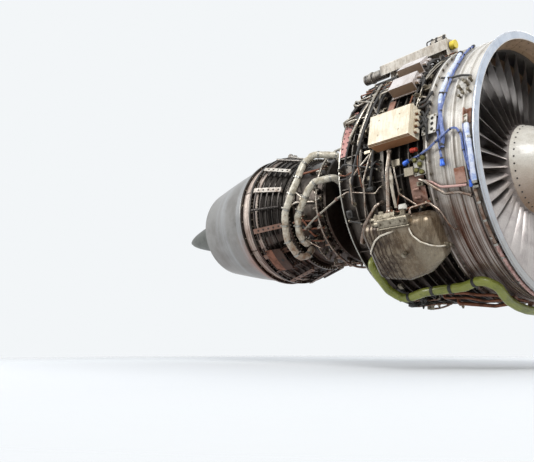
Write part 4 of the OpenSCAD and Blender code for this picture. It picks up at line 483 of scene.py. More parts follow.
def roundedPath(points, bend, degreesPerStep=12):
    # straight runs joined by true bends, as a pipe bender makes them
    points = [Vector(p) for p in points]
    path = [points[0]]
    for before, p, after in zip(points, points[1:], points[2:]):
        u, v = p - before, after - p
        room = min(u.length, v.length) * 0.48
        u.normalize()
        v.normalize()
        angle = u.angle(v)
        if angle < 0.009:
            path.append(p)
            continue
        r = min(bend, room / math.tan(angle / 2))
        normal = (v - u * u.dot(v)).normalized()
        centre = p - u * (r * math.tan(angle / 2)) + normal * r
        steps = max(1, math.ceil(math.degrees(angle) / degreesPerStep))
        angles = (angle * k / steps for k in range(steps + 1))
        path += [centre - normal * r * math.cos(a) + u * r * math.sin(a) for a in angles]
    return path + [points[-1]]


def route(stations, step=7):
    # points through [station, clock, radius], with points between, so that a pipe stays round the case
    points = [at(*stations[0])]
    for a, b in zip(stations, stations[1:]):
        count = max(1, math.ceil(abs(b[1] - a[1]) / step))
        points += [at(*(mix(a[j], b[j], k / count) for j in range(3))) for k in range(1, count + 1)]
    return points


def finePath(path, step):
    fine = []
    for a, b in zip(path, path[1:]):
        count = max(1, round((b - a).length / step))
        fine += [a.lerp(b, k / count) for k in range(count)]
    return fine + [path[-1]]


def heading(path, i):
    return (path[i + 1] - path[i]).normalized()


def pathEnds(path, step=1):
    # both ends of a path, each with the direction into it
    return [(a, (b - a).normalized()) for a, b in ((path[0], path[step]), (path[-1], path[-1 - step]))]


def makePiece(name, mesh, finish, node, body="engine", replaces=False, sharp=32):
    # a piece in a finish; it hides its CAD node when it replaces it
    data = bpy.data.meshes.new(name)
    data.from_pydata([(x / 1000, y / 1000, z / 1000) for x, y, z in mesh["verts"]], [], mesh["faces"])
    shape = bmesh.new()
    shape.from_mesh(data)
    bmesh.ops.recalc_face_normals(shape, faces=shape.faces)
    shape.to_mesh(data)
    shape.free()
    data.polygons.foreach_set("use_smooth", [True] * len(data.polygons))
    data.set_sharp_from_angle(angle=math.radians(sharp))
    data.materials.append(finishes[finish])
    piece = addObject(name, data)
    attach(piece, body)
    if replaces:
        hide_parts(node)


def makePieces(sharp, *rows):
    for row in rows:
        makePiece(*row, sharp=sharp)


# Fan blades: thin twisted forgings on the same sections as the CAD's, with rounded edges
blades = {"count": 38, "chord": (138, 176), "stagger": (12, 61), "r": (278, 762), "thick": (13, 4.5),
          "steps": 22, "camber": (18, 3), "camberLift": 0.78, "mid": -182, "lean": 24,
          "platform": ((-106, 286), (-258, 330)), "platformThick": 4, "gap": 0.05,
          "rootStations": (-112, -254),
          "root": ((-6, 280), (-6, 260), (-12, 243), (-12, 238), (12, 238), (12, 243), (6, 260), (6, 280))}
halfSection = [(0.5, 0.0), (0.485, 0.16), (0.45, 0.28), (0.36, 0.4), (0.2, 0.49), (0.02, 0.5), (-0.16, 0.44),
               (-0.32, 0.3), (-0.43, 0.17), (-0.485, 0.1), (-0.5, 0.0)]
section = halfSection + [(u, -n) for u, n in halfSection[-2:0:-1]]


def bladePoint(t, u, n):
    g = math.radians(mix(*blades["stagger"], t))
    u1 = u * mix(*blades["chord"], t)
    n1 = mix(*blades["camber"], t) * (blades["camberLift"] - 4 * u * u)
    n1 += n * mix(*blades["thick"], math.sqrt(t))
    x = blades["mid"] + blades["lean"] * t + u1 * math.cos(g) + n1 * math.sin(g)
    r = mix(*blades["r"], t)
    return at(x, math.degrees((u1 * math.sin(g) - n1 * math.cos(g)) / r), r)


fan = newMesh()
spans = [i / blades["steps"] for i in range(blades["steps"] + 1)]
(front, frontR), (rear, rearR) = blades["platform"]
thick, edge = blades["platformThick"], 180 / blades["count"] - blades["gap"]
for blade in range(blades["count"]):
    clock = 360 * blade / blades["count"]
    addSkin(fan, [[turned(clock, *bladePoint(t, u, n)) for u, n in section] for t in spans])
    # platform between the blades, and the dovetail root below it
    clocks = [clock + mix(-edge, edge, k / 4) for k in range(5)]
    corners = ((front, frontR), (rear, rearR), (rear, rearR - thick), (front, frontR - thick))
    addSkin(fan, [[at(x, c, r) for x, r in corners] for c in clocks])
    addSkin(fan, [[turned(clock, x, y, z) for y, z in blades["root"]] for x in blades["rootStations"]])
makePiece("fanBlades", fan, "bladeTitaniumBrushed", "fan_blades", "fan_spool", True, 40)

# Spinner: a spun dome with a flat band, and an enamelled cone with countersunk screws
spinner = {"tip": 190, "split": 78, "splitR": 184, "rear": -98, "rearR": 280, "domeRise": 98, "shoulder": 14,
           "rearScrews": (38, -80, 275.8, 5.5), "slope": (108, 184), "frontScrews": (24, 4)}
cone, nose, screws, band = (newMesh() for i in range(4))
split, splitR, shoulder = spinner["split"], spinner["splitR"], spinner["split"] + spinner["shoulder"]
rear, rearR = spinner["rear"], spinner["rearR"]
coneLine = [(mix(rearR + 6, splitR, k / 12) + 9 * math.sin(math.pi * k / 12), mix(rear - 7.7, split, k / 12))
            for k in range(13)]
coneLine += [(162.3, split), (162.3, split - 5), (179, split - 5)]
coneLine += [(mix(rearR, 179, t) + 6 * math.sin(math.pi * t), mix(rear, split - 5, t))
             for t in (0.8, 0.6, 0.4, 0.2, 0)]
addLathe(cone, coneLine + [(238, rear), (238, rear - 13.7), (rearR - 4, rear - 13.7),
                           (rearR - 4, rear - 7.7)])
domeLine = [(0.01, spinner["tip"])]
for angle in (math.radians(a) for a in range(5, 90, 5)):
    domeLine.append((splitR * math.sin(angle), shoulder + spinner["domeRise"] * math.cos(angle)))
domeLine += [(splitR, shoulder), (splitR, split + 0.3), (162, split + 0.3), (162, split - 10),
             (158, split - 10)]
addLathe(nose, domeLine + [(158, split + 20), (0.01, spinner["tip"] - 6)])
count, x, r, size = spinner["rearScrews"]
slope = math.atan2(*spinner["slope"])
for k in range(count):
    c = 360 * k / count
    addPeg(screws, at(x, c, r), turned(c, math.sin(slope), 0, math.cos(slope)), (-3, 0.8), size, 14)
count, size = spinner["frontScrews"]
for k in range(count):
    c = 360 * k / count
    addPeg(screws, at(shoulder - 7, c, splitR), outward(c), (-2, 0.8), size)
addLathe(band, [(splitR + h, shoulder - x) for h, x in ((0.6, 0.5), (0.6, 3.5), (-1, 3.5), (-1, 0.5))])
makePiece("spinnerCone", cone, "spinnerEnamelSprayed", "spinner_cone", "fan_spool", True)
makePiece("spinnerNose", nose, "noseAlloySpun", "spinner_nose", "fan_spool", True)
makePiece("spinnerScrews", screws, "holeShadowedOxide", "casing_bolts", "fan_spool")
makePiece("spinnerBand", band, "rubFillerCut", "spinner_nose", "fan_spool")
print("fan made")

# Exhaust: rolled nozzle with seams and rivets, and a blunt spun plug
nozzleLook = {"front": 537, "rear": 409, "bend": 1.25, "sheet": 5, "strap": (0.05, 0.13), "strapThick": 4,
              "flange": (557, 522), "rivets": ((0.062, 90), (0.118, 90), (0.985, 120)),
              "seams": (8, 98, 188, 278)}
nozzleLong = xNozzle - xExit


def nozzleWall(t):
    # t is 0 at the flange and 1 at the exit
    return mix(nozzleLook["front"], nozzleLook["rear"], t ** nozzleLook["bend"])


nozzle, rivets = newMesh(), newMesh()
(s0, s1), strap, (wide, bore) = nozzleLook["strap"], nozzleLook["strapThick"], nozzleLook["flange"]
nozzleLine = [(wide, xNozzle - 0.3), (wide, xNozzle - 10), (nozzleWall(0), xNozzle - 10.5)]
for t in [0.03, 0.045, 0.05, 0.055, 0.09, 0.125, 0.13, 0.135] + [i / 24 for i in range(4, 25)]:
    nozzleLine.append((nozzleWall(t) + (strap if s0 <= t <= s1 else 0), xNozzle - nozzleLong * t))
inside = [(nozzleWall(t) - nozzleLook["sheet"], xNozzle - nozzleLong * t)
          for t in (i / 12 for i in range(12, 0, -1))]
addLathe(nozzle, nozzleLine + inside + [(bore, xNozzle - 14), (bore, xNozzle - 0.3)], 240)
for t, count in nozzleLook["rivets"]:
    for k in range(count):
        c = 360 * (k + 0.5) / count
        p = at(xNozzle - nozzleLong * t, c, nozzleWall(t) + (strap if t < 0.2 else 0))
        addPeg(rivets, p, outward(c), (-1, 1.3), [4, 2.6], 8)
for clock in nozzleLook["seams"]:  # lengthwise seams, each of flat strips
    for i in range(12):
        ends = (0.15 + i * 0.07, 0.15 + (i + 1) * 0.07)
        addHull(rivets, [at(xNozzle - nozzleLong * t, clock + c, nozzleWall(t) + h)
                         for t in ends for c in (-1.6, 1.6) for h in (-1, 1.4)])
makePiece("exhaustNozzle", nozzle, "nozzleSheetRolled", "exhaust_nozzle", replaces=True, sharp=20)
makePiece("nozzleRivets", rivets, "nozzleSheetRolled", "exhaust_nozzle")

plugLook = {"wide": 300, "bore": 262, "tip": 24, "sheet": 4, "bend": 0.58, "seams": (0.86, 0.42), "flange": 8}
plugLong, wide, bore, tip = xNozzle - xTip, plugLook["wide"], plugLook["bore"], plugLook["tip"]


def plugWall(s):
    # s is 0 at the tip and 1 at the frame
    return plugLook["wide"] * s ** plugLook["bend"]


plug = newMesh()
plugLine = [(bore, xNozzle), (wide, xNozzle)]
for s in (i / 50 for i in range(49, 1, -1)):
    bead = max(max(0.0, 1 - abs(s - seam) / 0.006) for seam in plugLook["seams"]) * 2
    plugLine.append((plugWall(s) + bead, xTip + plugLong * s))
for angle in (math.radians(a) for a in range(12, 90, 8)):
    plugLine.append((tip * math.cos(angle), xTip + tip * (1 - math.sin(angle))))
plugLine += [(0.01, xTip), (0.01, xTip + 6)]
plugLine += [(plugWall(i / 12) - plugLook["sheet"], xTip + 6 + plugLong * i / 12) for i in range(1, 12)]
inner = xNozzle - plugLook["flange"]
addLathe(plug, plugLine + [(wide - plugLook["flange"], inner), (bore, inner)], 128)
makePiece("exhaustPlug", plug, "plugSheetSpun", "exhaust_plug", replaces=True)
print("exhaust made")

# Turbine case: a pale band by its rear flange, studs along it, an access plate on stand-offs,
# holes in the brackets, and heat shields round the rear frame
turbineLook = {"front": 412, "rear": 530, "wall": 8, "band": (-2214, -2178), "studs": 120,
               "studRows": (-2171, -1904), "plateClocks": (126, 148), "plateR": 566,
               "plateRear": (-2150, -2066), "plateFront": (-2065, -1960), "posts": (-2140, -1970),
               # clocks of the brackets, and the middle, pitch, rise and direction of each one's holes
               "hole": -2012, "brackets": (12, 48, 72, 108, 132, 168), "bracketHoles": (-2065, 45.12, 41),
               "bracketSlope": (0.32, 0, 0.947),
               "shields": 6, "shieldClocks": (16.5, 343.5), "shieldSpan": (-2346, -2245), "shieldR": 532.3,
               "shieldRib": (-2300, -2291), "shieldBolts": (-2336, -2255)}


def caseR(x):
    t = (xTurbine - x) / (xTurbine - xRear)
    return mix(turbineLook["front"], turbineLook["rear"], t) + turbineLook["wall"]


rearBand, studs, plateRear, plateFront, holes = (newMesh() for i in range(5))
b0, b1 = turbineLook["band"]
addLathe(rearBand, [(caseR(b0) - 1, b0), (caseR(b0) + 3, b0), (caseR(b1) + 3, b1), (caseR(b1) - 1, b1)], 180)
shieldR, shields = turbineLook["shieldR"], turbineLook["shields"]
for k in range(shields):  # clear of the rear mount
    c0, c1 = (mix(*turbineLook["shieldClocks"], (k + i) / shields) for i in (0, 1))
    addSheet(rearBand, turbineLook["shieldSpan"], (c0 + 0.5, c1 - 0.5), shieldR, 3)
    addSheet(rearBand, turbineLook["shieldRib"], (c0 + 0.5, c1 - 0.5), shieldR + 2.7, 3)
    for c in (c0 + 2.5, c1 - 2.5):
        for x in turbineLook["shieldBolts"]:
            addBolt(rearBand, at(x, c, shieldR + 2.7), outward(c), 4.5, 4)
for k in range(turbineLook["studs"]):
    c = 360 * (k + 0.3) / turbineLook["studs"]
    for x in turbineLook["studRows"]:
        addPeg(studs, at(x, c, caseR(x)), outward(c), (-2, 9), 3.2, 6)
        addPeg(studs, at(x, c, caseR(x)), outward(c), (4, 7), 5.6, 6)
clocks, plateR = turbineLook["plateClocks"], turbineLook["plateR"]
addSheet(plateRear, turbineLook["plateRear"], clocks, plateR, 3)
addSheet(plateFront, turbineLook["plateFront"], clocks, plateR, 3)
for x in turbineLook["posts"]:
    for c in (clocks[0] + 1.5, clocks[1] - 1.5):
        addTube(plateFront, [at(x, c, caseR(x) - 2), at(x, c, plateR + 1)], 5, 10)
        addBolt(plateFront, at(x, c, plateR + 3), outward(c), 6, 6)
addTube(holes, [at(turbineLook["hole"], sum(clocks) / 2, plateR + h) for h in (1, 3.6)], 15, 24)
middle, pitch, rise = turbineLook["bracketHoles"]
for c in turbineLook["brackets"] + tuple(-c for c in turbineLook["brackets"]):
    for x in (middle + pitch * k for k in range(-2, 3)):
        p = at(x, c, caseR(x) + rise)
        addPeg(holes, p, turned(c, *turbineLook["bracketSlope"]), (-3, 0.9), 8, 18)
makePieces(30, ("rearBand", rearBand, "bandEnamelBaked", "lpt_case"),
           ("turbineStuds", studs, "boltSteelPlated", "casing_bolts"),
           ("accessPlateRear", plateRear, "tubeSteelRusted", "tube_brackets"),
           ("accessPlateFront", plateFront, "hotAlloyHeatStained", "tube_brackets"))
makePiece("turbineHoles", holes, "holeShadowedOxide", "tube_brackets")

# Ducts as smooth bent tubes on the CAD's own routes
starterLook = {"r": 28, "bend": 70, "clamps": ((-430, 148.3), (-560, 148.8), (-255, 146.2), (-760, 151.5)),
               "clampR": 892, "route": [
                   (-890, 132, 815.3), (-890, 132, 875), (-872, 146, 895), (-820, 153, 899), (-620, 149, 896),
                   (-340, 148, 892), (-210, 145, 886), (-145, 150, 886), (-170, 161, 886), (-170, 196, 886),
                   (-150, 206, 886), (-120, 220, 896), (-95, 236, 934), (-105, 242, 934), (-163.7, 242, 934)]}
duct, clamps = newMesh(), newMesh()
path = roundedPath(route(starterLook["route"]), starterLook["bend"])
addTube(duct, path, starterLook["r"], 28)
for x, clock in starterLook["clamps"]:
    p, out = at(x, clock, starterLook["clampR"]), outward(clock + 60)
    near = min(range(1, len(path) - 1), key=lambda i: (path[i] - p).length)
    d = (path[near + 1] - path[near - 1]).normalized()
    p = path[near - 1] + d * (p - path[near - 1]).dot(d)
    addPeg(clamps, p, d, (-11, 11), starterLook["r"] + 2.5, 24)
    addBolt(clamps, p + out * 30, out, 5, 12)
makePiece("starterDuct", duct, "ductEnamelGreen", "starter_duct", replaces=True)
makePiece("ductClamps", clamps, "hoseRubberMoulded", "starter_duct")

covers, coverBands = newMesh(), newMesh()
bleedLook = {"seed": 11, "r": 26.4, "bandEvery": 15, "routes": (
    ([(-1400, 50, 304), (-1400, 50, 500), (-1540, 56, 600), (-1610, 63, 600), (-1630, 76, 600),
      (-1700, 90, 600), (-1765, 100, 600), (-1810, 119, 600), (-1800, 136, 580), (-1790, 141, 514),
      (-1790, 141, 424.3)], 70),
    ([(-1400, 72, 304), (-1400, 72, 454), (-1510, 78, 534), (-1570, 84, 534), (-1630, 94, 534),
      (-1700, 104, 534), (-1730, 118, 534), (-1730, 129, 514), (-1730, 129, 424.3)], 50))}
fold = random.Random(bleedLook["seed"])
for stations, bend in bleedLook["routes"]:
    fine = finePath(roundedPath(route(stations), bend, 8), 9)
    radii = [bleedLook["r"] + 1.5 * math.sin(k * 0.9) * fold.random() + fold.uniform(-0.7, 0.7)
             for k in range(len(fine))]
    addTube(covers, fine, radii, 24)
    for k in range(7, len(fine) - 4, bleedLook["bandEvery"]):
        d = heading(fine, k)
        addPeg(coverBands, fine[k], d, (-7, 7), 29.2, 22)
        addPeg(coverBands, fine[k], d.orthogonal().normalized(), (28, 37), 5, 6)
makePiece("bleedDucts", covers, "ductBlanketWrapped", "bleed_ducts", replaces=True, sharp=60)
makePiece("bleedDuctBands", coverBands, "linkSteelMachined", "bleed_ducts")
print("ducts made")

# Inlet: a rolled lip on the flange, and the linings' screws and seams
lipLook = {"middle": (847, -6), "size": (5, 5.6), "footR": 845.5, "foot": (-0.4, -11.8), "rings": (
    [(800.4, -0.6), (803.5, -0.2), (804.5, -0.4), (804.5, -3), (800.4, -3)],
    [(804, 0.35), (846, 0.35), (846, -0.1), (804, -0.1)])}
rimLip, linerScrews = newMesh(), newMesh()
(r, x), (wide, deep), footR = lipLook["middle"], lipLook["size"], lipLook["footR"]
front, rear = lipLook["foot"]
lip = [(r + wide * math.sin(a), x + deep * math.cos(a))
       for a in (math.radians(k) for k in range(10, 180, 20))]
for ring in ([(footR, front)] + lip + [(footR, rear)], *lipLook["rings"]):
    addLathe(rimLip, ring, 240)
linerLook = {"rows": ((-18, 54, 0.0), (-58, 54, 0.5), (-88, 27, 0.2)), "head": 4.2,
             "seams": 8, "seamClock": 14, "strips": ((-6, -69, 799.4, 773.4), (-71, -99, 772.7, 769.1)),
             # stations and radii of the two linings
             "walls": ((-4.3, 800, -70, 773), (-70, 773, -99.7, 769))}
for x, count, shift in linerLook["rows"]:
    x0, r0, x1, r1 = linerLook["walls"][0 if x > -70 else 1]
    for k in range(count):
        c = 360 * (k + shift) / count
        p = at(x, c, mix(r0, r1, (x0 - x) / (x0 - x1)))
        addPeg(linerScrews, p, outward(c), (2, -0.9), linerLook["head"])
for k in range(linerLook["seams"]):
    c = linerLook["seamClock"] + 360 * k / linerLook["seams"]
    for x0, x1, r0, r1 in linerLook["strips"]:
        addHull(linerScrews, [at(x, c + s * 0.11, r + h)
                              for x, r in ((x0, r0), (x1, r1)) for s in (-1, 1) for h in (-0.5, 1.5)])
makePiece("rimLip", rimLip, "rimAlloyPolished", "fan_case")
makePiece("linerScrews", linerScrews, "holeShadowedOxide", "casing_bolts")

# Lines that follow the inlet flange: sleeved wires down to a connector, then a rigid tube and braided leads
rimLook = {"sleeve": [(-52, 84.5, 840), (-44, 88, 848), (-34, 93, 849), (-32, 99, 849), (-36, 106, 849)],
           "wire": [(-70, 84, 838), (-60, 90, 843), (-54, 97, 844), (-50, 106, 846)],
           "tube": [(-44, 109, 848), (-42, 116, 849), (-36, 126, 849), (-34, 131, 848)],
           "braid": [(-34, 131, 848), (-31, 145, 848), (-31, 160, 848), (-36, 172, 846), (-36, 181, 834)],
           "collars": ((106.5, 17), (108.2, 19), (131, 15), (137, 12), (151, 12), (165, 12), (90, 17)),
           "tubeCollars": (114, 121, 128), "foot": 826, "top": 842}
sleeve, wire, rigid, braid, collars = (newMesh() for i in range(5))
path = roundedPath(route(rimLook["sleeve"], 3), 200)
addTube(sleeve, path, [15 + 1.2 * math.sin(k * 1.3) for k in range(len(path))], 16)
addTube(wire, roundedPath(route(rimLook["wire"], 3), 200), 8)
addTube(rigid, roundedPath(route(rimLook["tube"], 3), 100), 11, 16)
path = roundedPath(route(rimLook["braid"], 2), 100)
path = [a.lerp(b, k / 4) for a, b in zip(path, path[1:]) for k in range(4)] + [path[-1]]
addTube(braid, path, [9 + (2.4 if k % 9 < 3 else 0) for k in range(len(path))], 14)
for c, size in rimLook["collars"]:
    addTube(collars, [at(-35, c - 0.45, 848), at(-35, c + 0.45, 848)], size, 18)
    addBox(collars, c, (-44, -7, rimLook["foot"]), (-26, 7, rimLook["top"]), 1)
for c in rimLook["tubeCollars"]:
    addTube(collars, [at(-41, c - 0.4, 848.5), at(-41, c + 0.4, 848.5)], 13.5, 16)
    addBox(collars, c, (-48, -5, rimLook["foot"]), (-34, 5, rimLook["top"]), 1)
makePieces(50, ("rimSleeve", sleeve, "wireSleeveWhite", "harness"),
           ("rimWire", wire, "wireSleeveBraided", "harness"),
           ("rimTube", rigid, "tubeSteelDrawn", "harness"), ("rimBraid", braid, "wireSleevePink", "harness"),
           ("rimCollars", collars, "linkSteelMachined", "harness"))

# Wiring harness: three sleeved strands laid round each other, tied every hand's width
strands = {"count": 3, "pitch": 210, "spread": 3.6, "radius": 3.5, "tieEvery": 16, "routes": (
    ([(-210, 30, 846.5), (-182, 48, 846.5), (-192, 64, 846.5), (-210, 74, 846.5), (-228, 84, 846.5),
      (-210, 96, 846.5)], 60),
    ([(-400, 93, 860), (-340, 92, 860), (-270, 90, 858), (-192, 87, 862.5), (-120, 84, 848.5),
      (-82, 88, 846.5), (-74, 94, 846.5), (-40, 108, 846.5)], 50))}
harness, ties = newMesh(), newMesh()
for stations, bend in strands["routes"]:
    fine = finePath(roundedPath(route(stations), bend, 6), 8)
    lengths = [0]
    for a, b in zip(fine, fine[1:]):
        lengths.append(lengths[-1] + (b - a).length)
    for s in range(strands["count"]):
        twisted = []
        for i, p in enumerate(fine):
            forward = (fine[min(i + 1, len(fine) - 1)] - fine[max(i - 1, 0)]).normalized()
            side = forward.cross(Vector((0, p.y, p.z)).normalized()).normalized()
            up = side.cross(forward)
            a = 2 * math.pi * (lengths[i] / strands["pitch"] + s / strands["count"])
            twisted.append(p + (side * math.cos(a) + up * math.sin(a)) * strands["spread"])
        addTube(harness, twisted, strands["radius"], 8)
    for i in range(9, len(fine) - 2, strands["tieEvery"]):
        addPeg(ties, fine[i], heading(fine, i), (-3, 3), 8.2, 14)
    for end, d in pathEnds(fine, 2):
        addPeg(ties, end, d, (-6, 16), 10, 16)
        addPeg(ties, end, d, (-12, -6), 8, 16)
makePiece("harnessStrands", harness, "wireSleeveBraided", "harness", replaces=True, sharp=60)
makePiece("harnessTies", ties, "hoseRubberMoulded", "harness")

# Sleeves, plates and connectors over the barrel's starboard side, each on a stand-off or a rib
sleeves = {"sleeve": [(-262, 36, 838), (-214, 48, 840), (-222, 60, 842), (-234, 67, 842), (-224, 75, 842),
                      (-209, 81, 842), (-196, 86, 842), (-203, 91, 842)],
           "dark": [(-272, 56.5, 837), (-236, 58.5, 846), (-184, 60.1, 848), (-123, 60.6, 846),
                    (-80, 61.4, 838), (-62, 62, 834)],
           "pink": [(-364, 101.4, 842), (-300, 103, 844), (-246, 105.7, 846), (-170, 106.4, 845),
                    (-89, 107, 842)],
           "cream": [(-566, 90, 846), (-565, 94.5, 850), (-563, 97, 850), (-566, 103.5, 848),
                     (-569, 110, 842)],
           "thin": [(-222, 40, 836), (-196, 44, 842), (-186, 52, 842), (-190, 58, 842), (-206, 62, 836)],
           "blueFrom": 0.66, "clips": ((-262, 36, 17), (-234, 67, 15.5), (-205, 90, 15.5))}
sleeveTop, sleeveLow, darkHose, creamTube, pinkTube = (newMesh() for i in range(5))
path = roundedPath(route(sleeves["sleeve"], 3), 70, 8)
cut = round(len(path) * sleeves["blueFrom"])
for mesh, part, size in ((sleeveTop, path[:cut + 1], 13), (sleeveLow, path[cut:], 12)):
    addTube(mesh, part, [size + 0.9 * math.sin(k * 1.7) for k in range(len(part))], 18)
addTube(darkHose, roundedPath(route(sleeves["dark"], 2), 40), 6.5)
addTube(pinkTube, roundedPath(route(sleeves["pink"], 2), 60), 7.5, 14)
path = roundedPath(route(sleeves["cream"], 2), 30, 8)
swell = [9 + 7 * max(0.0, 1 - abs(k / len(path) - 0.42) / 0.16) for k in range(len(path))]
addTube(creamTube, path, swell, 18)
addTube(creamTube, roundedPath(route(sleeves["thin"], 3), 30), 4.5, 10)
for x, c, size in sleeves["clips"]:
    addPeg(darkHose, at(x, c, 840), turned(c, 0, 1, 0), (-8, 8), size, 18)
makePieces(50, ("sleeveTop", sleeveTop, "wireSleeveWhite", "harness"),
           ("sleeveLow", sleeveLow, "wireSleeveBraided", "harness"),
           ("darkHose", darkHose, "hoseRubberMoulded", "harness"),
           ("creamTubes", creamTube, "tubeSiliconeMoulded", "harness"),
           ("pinkTube", pinkTube, "wireSleevePink", "harness"))

fittings = {
    # both stations, clock, width and top radius of each plate
    "plates": ((-330, -236, 80.5, 118, 853), (-70, -40, 82.5, 50, 852), (-396, -318, 96.5, 92, 850)),
    "holes": [(x, y) for y in (-34, 0, 34) for x in (-308, -262)],
    # station, clock, height and size of each small stand
    "stands": ((-52, 64.5, 22, 11), (-70, 66.2, 30, 12), (-98, 64, 18, 9), (-112, 67.5, 26, 12),
               (-48, 70.2, 26, 11), (-84, 70.6, 20, 10), (-108, 71.4, 16, 9)),
    "green": ((-330, 93.4), (-352, 95.6), (-378, 97.6), (-345, 98.6), (-384, 93.6)),
    # station, clock, radius and direction of the other connectors
    "blue": ((-432, 93.4, 860, (-1, 0.35, -0.2)), (-210, 96.6, 846, turned(96.6, 0, -1, 0)),
             (-57, 106.5, 846, (0, 0.3, -1))),
    "red": ((-376, 89.4, 860, (-1, 0, 0)),)}
plates, plateHoles, blues, reds, greens, stands = (newMesh() for i in range(6))
for x0, x1, c, wide, topR in fittings["plates"]:
    addBox(plates, c, (x0, -wide / 2, topR - 5), (x1, wide / 2, topR))
    for x in (x0 + 10, x1 - 10):
        for y in (-wide / 2 + 10, wide / 2 - 10):
            addTube(stands, [turned(c, x, y, 823), turned(c, x, y, topR)], 4.5, 8)
            addBolt(stands, turned(c, x, y, topR), outward(c), 4.5, 5)
clock, topR = fittings["plates"][0][2], fittings["plates"][0][4]
for x, y in fittings["holes"]:
    addPeg(plateHoles, turned(clock, x, y, topR), outward(clock), (-2, 0.7), 10, 20)
for x, c, height, size in fittings["stands"]:
    addPeg(stands, at(x, c, 826), outward(c), (-2, height), size * 0.7)
    addPeg(stands, at(x, c, 826), outward(c), (height, height + 9), size, 6)
for x, c in fittings["green"]:
    p, d = at(x, c, 850), turned(c, 0.5, 0, 0.86)
    addPeg(greens, p, d, (0, 16), 13, 20)
    addPeg(greens, p, d, (16, 24, 34), [15, 15, 9], 20)
for mesh, colour in ((blues, "blue"), (reds, "red")):
    for x, c, r, along in fittings[colour]:
        addPeg(mesh, at(x, c, r), Vector(along).normalized(), (-16, 2, 8, 22), [12, 12, 15, 15], 22)
        addTube(stands, [at(x, c, 821), at(x, c, r)], 5, 8)
makePieces(40, ("casePlates", plates, "capPlasticMoulded", "case_brackets"),
           ("plateHoles", plateHoles, "holeShadowedOxide", "case_brackets"),
           ("plugsBlue", blues, "connectorAnodisedBlue", "harness"),
           ("plugsRed", reds, "connectorAnodisedRed", "harness"),
           ("plugsGreen", greens, "connectorChromateGreen", "harness"),
           ("standOffs", stands, "fittingAlloyCast", "case_brackets"))

# Oil, fuel and air pipes on the CAD's routes, with nuts where they end
neckX, neckY, neckZ, tankIn, tankOut = -465, -869.83, -433.68, 919.95, 971.95
pipeRoutes = (
    (route([(-370, 101, 828.6), (-370, 101, 860), (-330, 102, 866), (-280, 105, 864), (-220, 108.5, 856),
            (-140, 109, 850), (-70, 111, 848)]), 8, 30),
    ([at(-544, 87.2, 870), at(-544, 91, 881), at(-552, 95, 891), (-565, neckY - 2, neckZ + 178),
      (-565, neckY - 2, neckZ + 98.3)], 12, 40),
    (route([(-670, 107, 824.3), (-670, 107, 881), (-800, 114, 881), (-890, 122, 871), (-890, 122, 815.3)]),
     12, 40),
    (route([(-810, 57, 815.3), (-810, 57, 855), (-848, 69, 859), (-890, 76, 855), (-890, 76, 815.3)]), 9, 30),
    (route([(-810, 42, 815.3), (-810, 42, 855), (-770, 52, 865), (-770, 66, 865), (-810, 80, 855),
            (-810, 80, 815.3)]), 9, 30),
    ([(neckX + 48, neckY, neckZ + 71.04), (neckX + 48, neckY, neckZ + 105.04), at(-290, 110, tankIn + 8),
      at(-232, 113.5, tankIn + 10), at(-215, 119.5, tankIn - 10), at(-215, 122.5, tankIn - 50),
      at(-215, 122.5, 836.3)], 6, 30))
pipes = newMesh()
for points, radius, bend in pipeRoutes:
    path = roundedPath(points, bend)
    addTube(pipes, path, radius, 16)
    for end, d in pathEnds(path):
        addPeg(pipes, end, d, (0, 9), radius * 1.5, 6)
        addPeg(pipes, end, d, (9, 18), [radius * 1.3, radius * 1.1], 16)
makePiece("casePipes", pipes, "tubeSteelDrawn", "case_pipes", replaces=True, sharp=50)

# Ignition leads: braid over a flexible tube, ending in the igniters' caps, and held off the core by arms
leadLook = {"r": 7, "routes": (
    [(-618.3, 56, 878), (-700, 56, 878), (-740, 58, 827), (-1030, 62, 827), (-1070, 66, 580),
     (-1150, 90, 520), (-1540, 108, 520), (-1670, 115, 520), (-1670, 115, 494)],
    [(-656.3, 41, 878), (-680, 41, 878), (-730, 37, 827), (-1030, 35, 827), (-1080, 20, 580),
     (-1160, -20, 520), (-1240, -52, 520), (-1500, -92, 520), (-1670, -115, 520), (-1670, -115, 494)]),
    "igniters": (-1670, (115, 245), 448.3),  # station, clocks, foot radius
    "arms": ((-1295, 96.7, 328), (-1486, 105.5, 438), (-1295, -60.5, 328), (-1395, -75.9, 328),
             (-1486, -89.9, 438))}
leads, leadArms = newMesh(), newMesh()
for stations in leadLook["routes"]:
    path = roundedPath(route(stations), 40, 10)
    addTube(leads, path, leadLook["r"], 14)
    for i in range(4, len(path) - 3, 5):
        addPeg(leads, path[i], heading(path, i), (-5, 5), leadLook["r"] + 2.5, 14)
x, clocks, foot = leadLook["igniters"]
for clock in clocks:
    p, out = at(x, clock, foot), outward(clock)
    addPeg(leads, p, out, (0, 16), 15, 6)
    addPeg(leads, p, out, (12, 30, 34, 52), [11, 11, 9, 8], 20)
    addPeg(leads, p, out, (-68, 0), 8, 16)
for x, c, foot in leadLook["arms"]:
    for wide, ys, top in ((8, (8, 11), 526), (12, (-10, 14), foot + 6)):
        addHull(leadArms, [at(x + u, c, r) + turned(c, 0, y, 0) for u in (-wide, wide) for y in ys
                           for r in (foot, top)])
    addPeg(leadArms, at(x, c, 520), turned(c, -0.86, -0.5 if c > 0 else 0.5, 0), (-9, 9), 12.5, 14)
makePiece("ignitionLeads", leads, "leadBraidWoven", "ignition_leads", replaces=True)
makePiece("leadArms", leadArms, "bracketSheetPressed", "case_brackets")
print("wires and pipes made")

